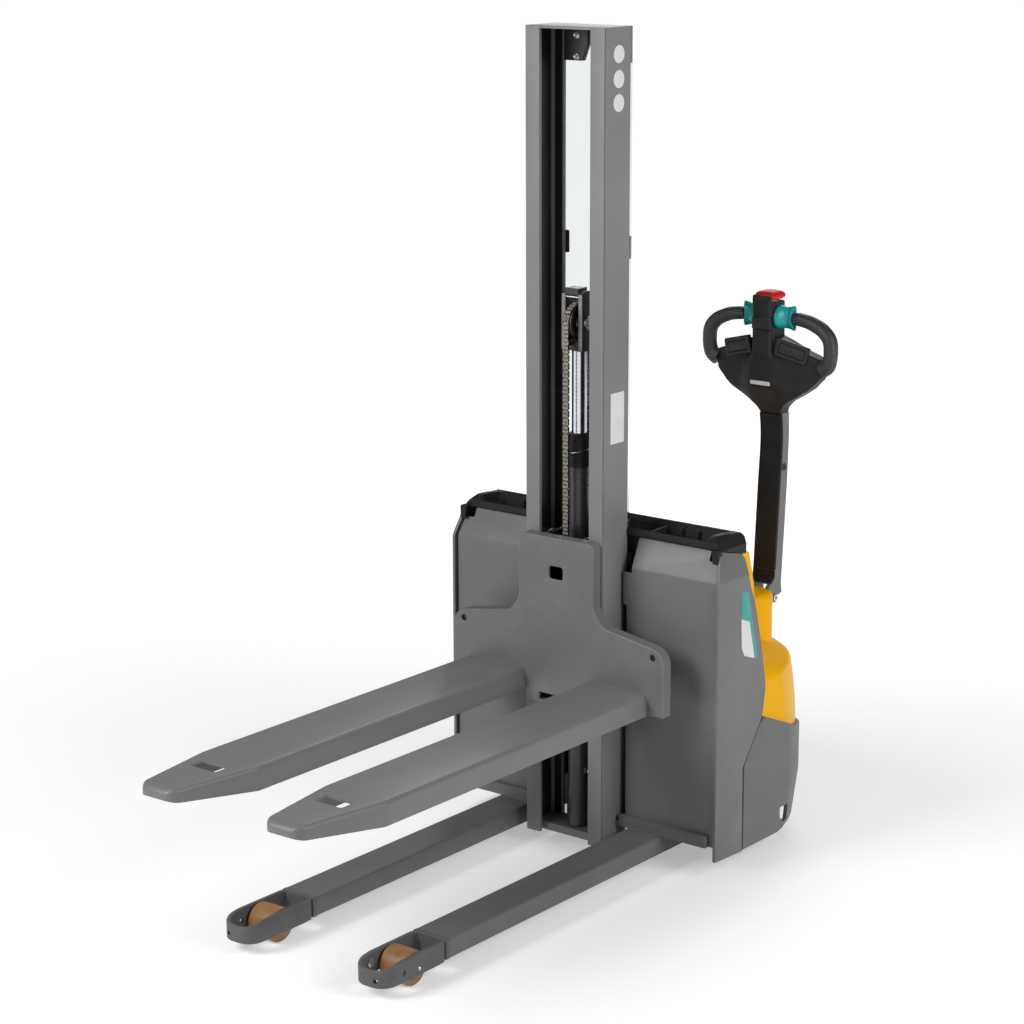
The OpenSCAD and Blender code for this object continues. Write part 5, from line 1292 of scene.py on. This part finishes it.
ROCKER_AT, ROCKER_TILT, ROCKER_TURN = Vector((77, 529, 1198)), math.radians(14), math.radians(11.5)


def at_rocker(part, side):
    """Turns a part from the rocker's own axes to its place: tilted about y, then about z."""
    move = (Matrix.Translation(ROCKER_AT) @ Matrix.Rotation(ROCKER_TURN, 4, "Z")
            @ Matrix.Rotation(ROCKER_TILT, 4, "Y"))
    points, faces = part
    points = np.array([tuple(move @ Vector(p)) for p in points])
    return (points, faces) if side > 0 else mirrored((points, faces))


for _, side in SIDES:
    pockets.append(at_rocker(slab(rounded(rectangle(-44.8, 44.8, -23.3, 23.3), 3), "xz", -32, 7.5, 0.5),
                             side))
cut(head, at_head(pockets), 50)
piece("head_stubs", at_head(stubs), HUB_STEEL, "tiller")
plate = slab(rounded(rectangle(-27.5, 27.5, 1111, 1121), 1.2), "xz", 507.0, 510.5, 0.3)
piece("head_label", at_head([plate]), VINYL, "tiller")

# Hand grips. Rubber-skinned loops from the throttle switch round to the wings' ends, a little flat inside,
# with a seam where they meet the shell.
GRIP_RUBBER = finish("soft_grip_rubber", "#313234", "#292A2C", 0.50, 1.4, 0.05, patch_mm=40)
GRIP_PATH = [(70, 0), (92, -2), (115, -6), (134, -13), (150, -21), (161, -30), (170, -41), (174.5, -54),
             (175.4, -67), (175.4, -82), (173, -96), (167, -109), (150, -119)]
GRIP_STEPS, GRIP_SEAM = 73, slice(61, 63)
line = smooth(GRIP_PATH, GRIP_STEPS)
path = np.stack([line[:, 0], np.full(GRIP_STEPS, BAR_Y), BAR_Z + line[:, 1]], 1)
t = np.linspace(0, 2 * math.pi, 28, endpoint=False)
oval = np.stack([np.sign(np.cos(t)) * np.abs(np.cos(t)) ** 0.86,
                 np.sign(np.sin(t)) * np.abs(np.sin(t)) ** 0.86], 1)
swell = 15.6 + 1.6 * np.sin(np.linspace(0, math.pi, GRIP_STEPS)) ** 0.6
swell[:3] = (12.5, 14.4, 15.3)
sizes = swell[:, None, None] * np.stack([1 + 0.3 * np.clip((np.arange(GRIP_STEPS) - 56) / 16, 0, 1) ** 1.5,
                                         np.ones(GRIP_STEPS)], 1)[:, None]
grip = loft(carried(path, sizes * oval, (0, 1, 0)))
seam = loft(carried(path[GRIP_SEAM], sizes[GRIP_SEAM] * 1.018 * oval, (0, 1, 0)))
piece("grip_loops", at_head(both_sides([grip])), GRIP_RUBBER, "tiller", ["handle_grips"],
      sharp=60)
piece("grip_seams", at_head(both_sides([seam])), RUBBER, "tiller")

# Throttle wings. A teal rocker turned by either thumb: next to the neck it is round, further out it is
# hollowed at front and rear, and its upper and lower lips flare; both wings sit on one shaft.
TEAL_PA = finish("moulded_teal_nylon", "#12A5A6", "#0F9A9B", 0.36, 1.5, 0.02, patch_mm=30,
                 **{"Subsurface Weight": 0.05, "Subsurface Scale": 0.002})

WING_LENGTH, WING_R, WING_HOLLOW, WING_BORE = 38.5, 30.2, 19.5, 9.3


def wing():
    """Skin r(x, t): a circle of 30 near the neck; from a fifth of the way out the front and rear fall to 11
    as |cos t|, while the lips at top and bottom dip a little and then flare up and outwards."""
    rings = []
    t = np.linspace(0, 2 * math.pi, 64, endpoint=False)
    for share in np.concatenate([[0.0], np.linspace(0.02, 0.98, 26), [1.0]]):
        x = NECK_HALF + 1.2 + WING_LENGTH * share
        ease = np.clip((share - 0.22) / 0.5, 0, 1)
        ease = ease * ease * (3 - 2 * ease)
        lips = WING_R - 4.5 * math.sin(share * math.pi) ** 1.5 + 1.2 * share
        front = np.abs(np.cos(t)) ** 0.9
        r = lips - WING_HOLLOW * ease * front
        r -= 2.4 * (1 - min(1.0, 12 * share, 14 * (1 - share)) ** 0.5)
        flare = 8.0 * share ** 2 * (1 - front)
        rings.append(np.stack([x + flare, BAR_Y + r * np.cos(t), BAR_Z + r * np.sin(t)], 1))
    inner = [np.stack([np.full(64, x), BAR_Y + WING_BORE * np.cos(t), BAR_Z + WING_BORE * np.sin(t)], 1)
             for x in (NECK_HALF + 36, NECK_HALF + 1.5)]
    return loft(rings + inner, loop=True)


piece("throttle_wings", at_head(both_sides([wing()])), TEAL_PA, "butterfly",
      ["butterfly_switch"], sharp=50)

# Horn button, reverse button and rockers. Moulded caps on micro switches: the horn flush in the spine across
# its full width, the red one proud of its top so that the operator's body pushes it, the rockers with a
# raised, bevelled rim.
# ABS off a fine mould: smoother and a little shinier than the head's nylon. The red is slightly duller.
BUTTON_ABS = finish("satin_black_abs", "#2C2D2F", "#28292B", 0.42, 1.0, 0.02, patch_mm=30,
                    **{"Specular IOR Level": 0.28})
RED_ABS = finish("moulded_red_abs", "#D8150C", "#CC110A", 0.46, 2.0, 0.02, patch_mm=30,
                 **{"Specular IOR Level": 0.3})
horn = slab(rounded(rectangle(-26.9, 26.9, 506.6, 513.9), np.array([6.5, 6.5, 0.6, 0.6]), 5),
            "xy", 1248.8, 1278.4, 0.8)
piece("horn_cap", at_head([horn]), BUTTON_ABS, "horn", ["horn_button"], sharp=50)
rings = []
for z, half_w, y0, y1, r in ((1319, 22, 518.5, 573, 2), (1322.4, 22, 518.5, 573, 2),
                             (1322.8, 26.6, 517.8, 577, 5), (1324, 27.4, 517.4, 578, 6),
                             (1329, 27.4, 517.2, 578, 6), (1333, 26.2, 518, 576.6, 7),
                             (1336, 24, 519.5, 574, 8), (1338.6, 20.5, 523, 569, 9),
                             (1340.2, 15, 529, 562, 8), (1341, 7, 537, 553, 5)):
    rings.append(ring_at(rounded(rectangle(-half_w, half_w, y0, y1), r, 5), "xy", z))
piece("reverse_cap", at_head([loft(rings)]), RED_ABS, "belly", ["belly_button"], sharp=50)
for tag, side in SIDES:
    pad = slab(rounded(rectangle(-44, 44, -22.5, 22.5), 4), "xz", -2.5, 3.8, 1.0)
    rim = slab(rounded(rectangle(-43, 43, -21.5, 21.5), 4), "xz", -6.0, -1.0, 2.6,
               [rounded(rectangle(-34.5, 34.5, -13, 13), 3)], count=4)
    core = slab(rounded(rectangle(-33.9, 33.9, -12.4, 12.4), 3), "xz", -4.4, -1.0, 1.4)
    piece(f"rocker_cap_{tag}", at_head([at_rocker(part, side) for part in (pad, rim, core)]), BUTTON_ABS,
          f"rocker_{tag[0]}", [f"rocker_{tag}"], sharp=50)

# Switches on the shelf. A red mushroom for the emergency stop with a yellow collar, and the key lock: a
# bright barrel with its key, both screwed through the cover.
collar = turned([(490.2, 9.5), (490.2, 24), (492, 26), (494.5, 26), (496, 24), (496, 9.5)],
                (*STOP_AT, 0), "z", 48, True)
piece("stop_collar", [collar], YELLOW_ABS, "chassis")
cap = turned([(478, 0.3), (478, 7.6), (503, 7.6), (503.3, 17), (504.6, 19.4), (508, 20), (512, 19),
              (514.6, 15.5), (516, 9), (516, 0.3)], (*STOP_AT, 0), "z", 48)
piece("stop_cap", [cap], RED_ABS, "stop_button", ["emergency_stop"], sharp=50)
lock = turned([(490.2, 11.3), (490.2, 16), (492, 16.5), (494, 16), (494.6, 11.3)],
              (*KEY_AT, 0), "z", 40, True)
piece("key_lock_nut", [lock], ZINC, "chassis")
key = [turned([(476, 0.3), (476, 10.7), (497, 10.7), (498, 9.7), (498, 0.3)], (*KEY_AT, 0), "z", 40),
       slab(rounded([(KEY_AT[0] - 4, 497.5), (KEY_AT[0] + 4, 497.5), (KEY_AT[0] + 4, 503),
                     (KEY_AT[0] + 12, 506), (KEY_AT[0] + 12, 524), (KEY_AT[0] - 12, 524),
                     (KEY_AT[0] - 12, 506), (KEY_AT[0] - 4, 503)], 2.5), "xz", KEY_AT[1] - 1.5,
            KEY_AT[1] + 1.5, 0.6)]
piece("key_and_barrel", key, ZINC, "key", ["key_switch"])
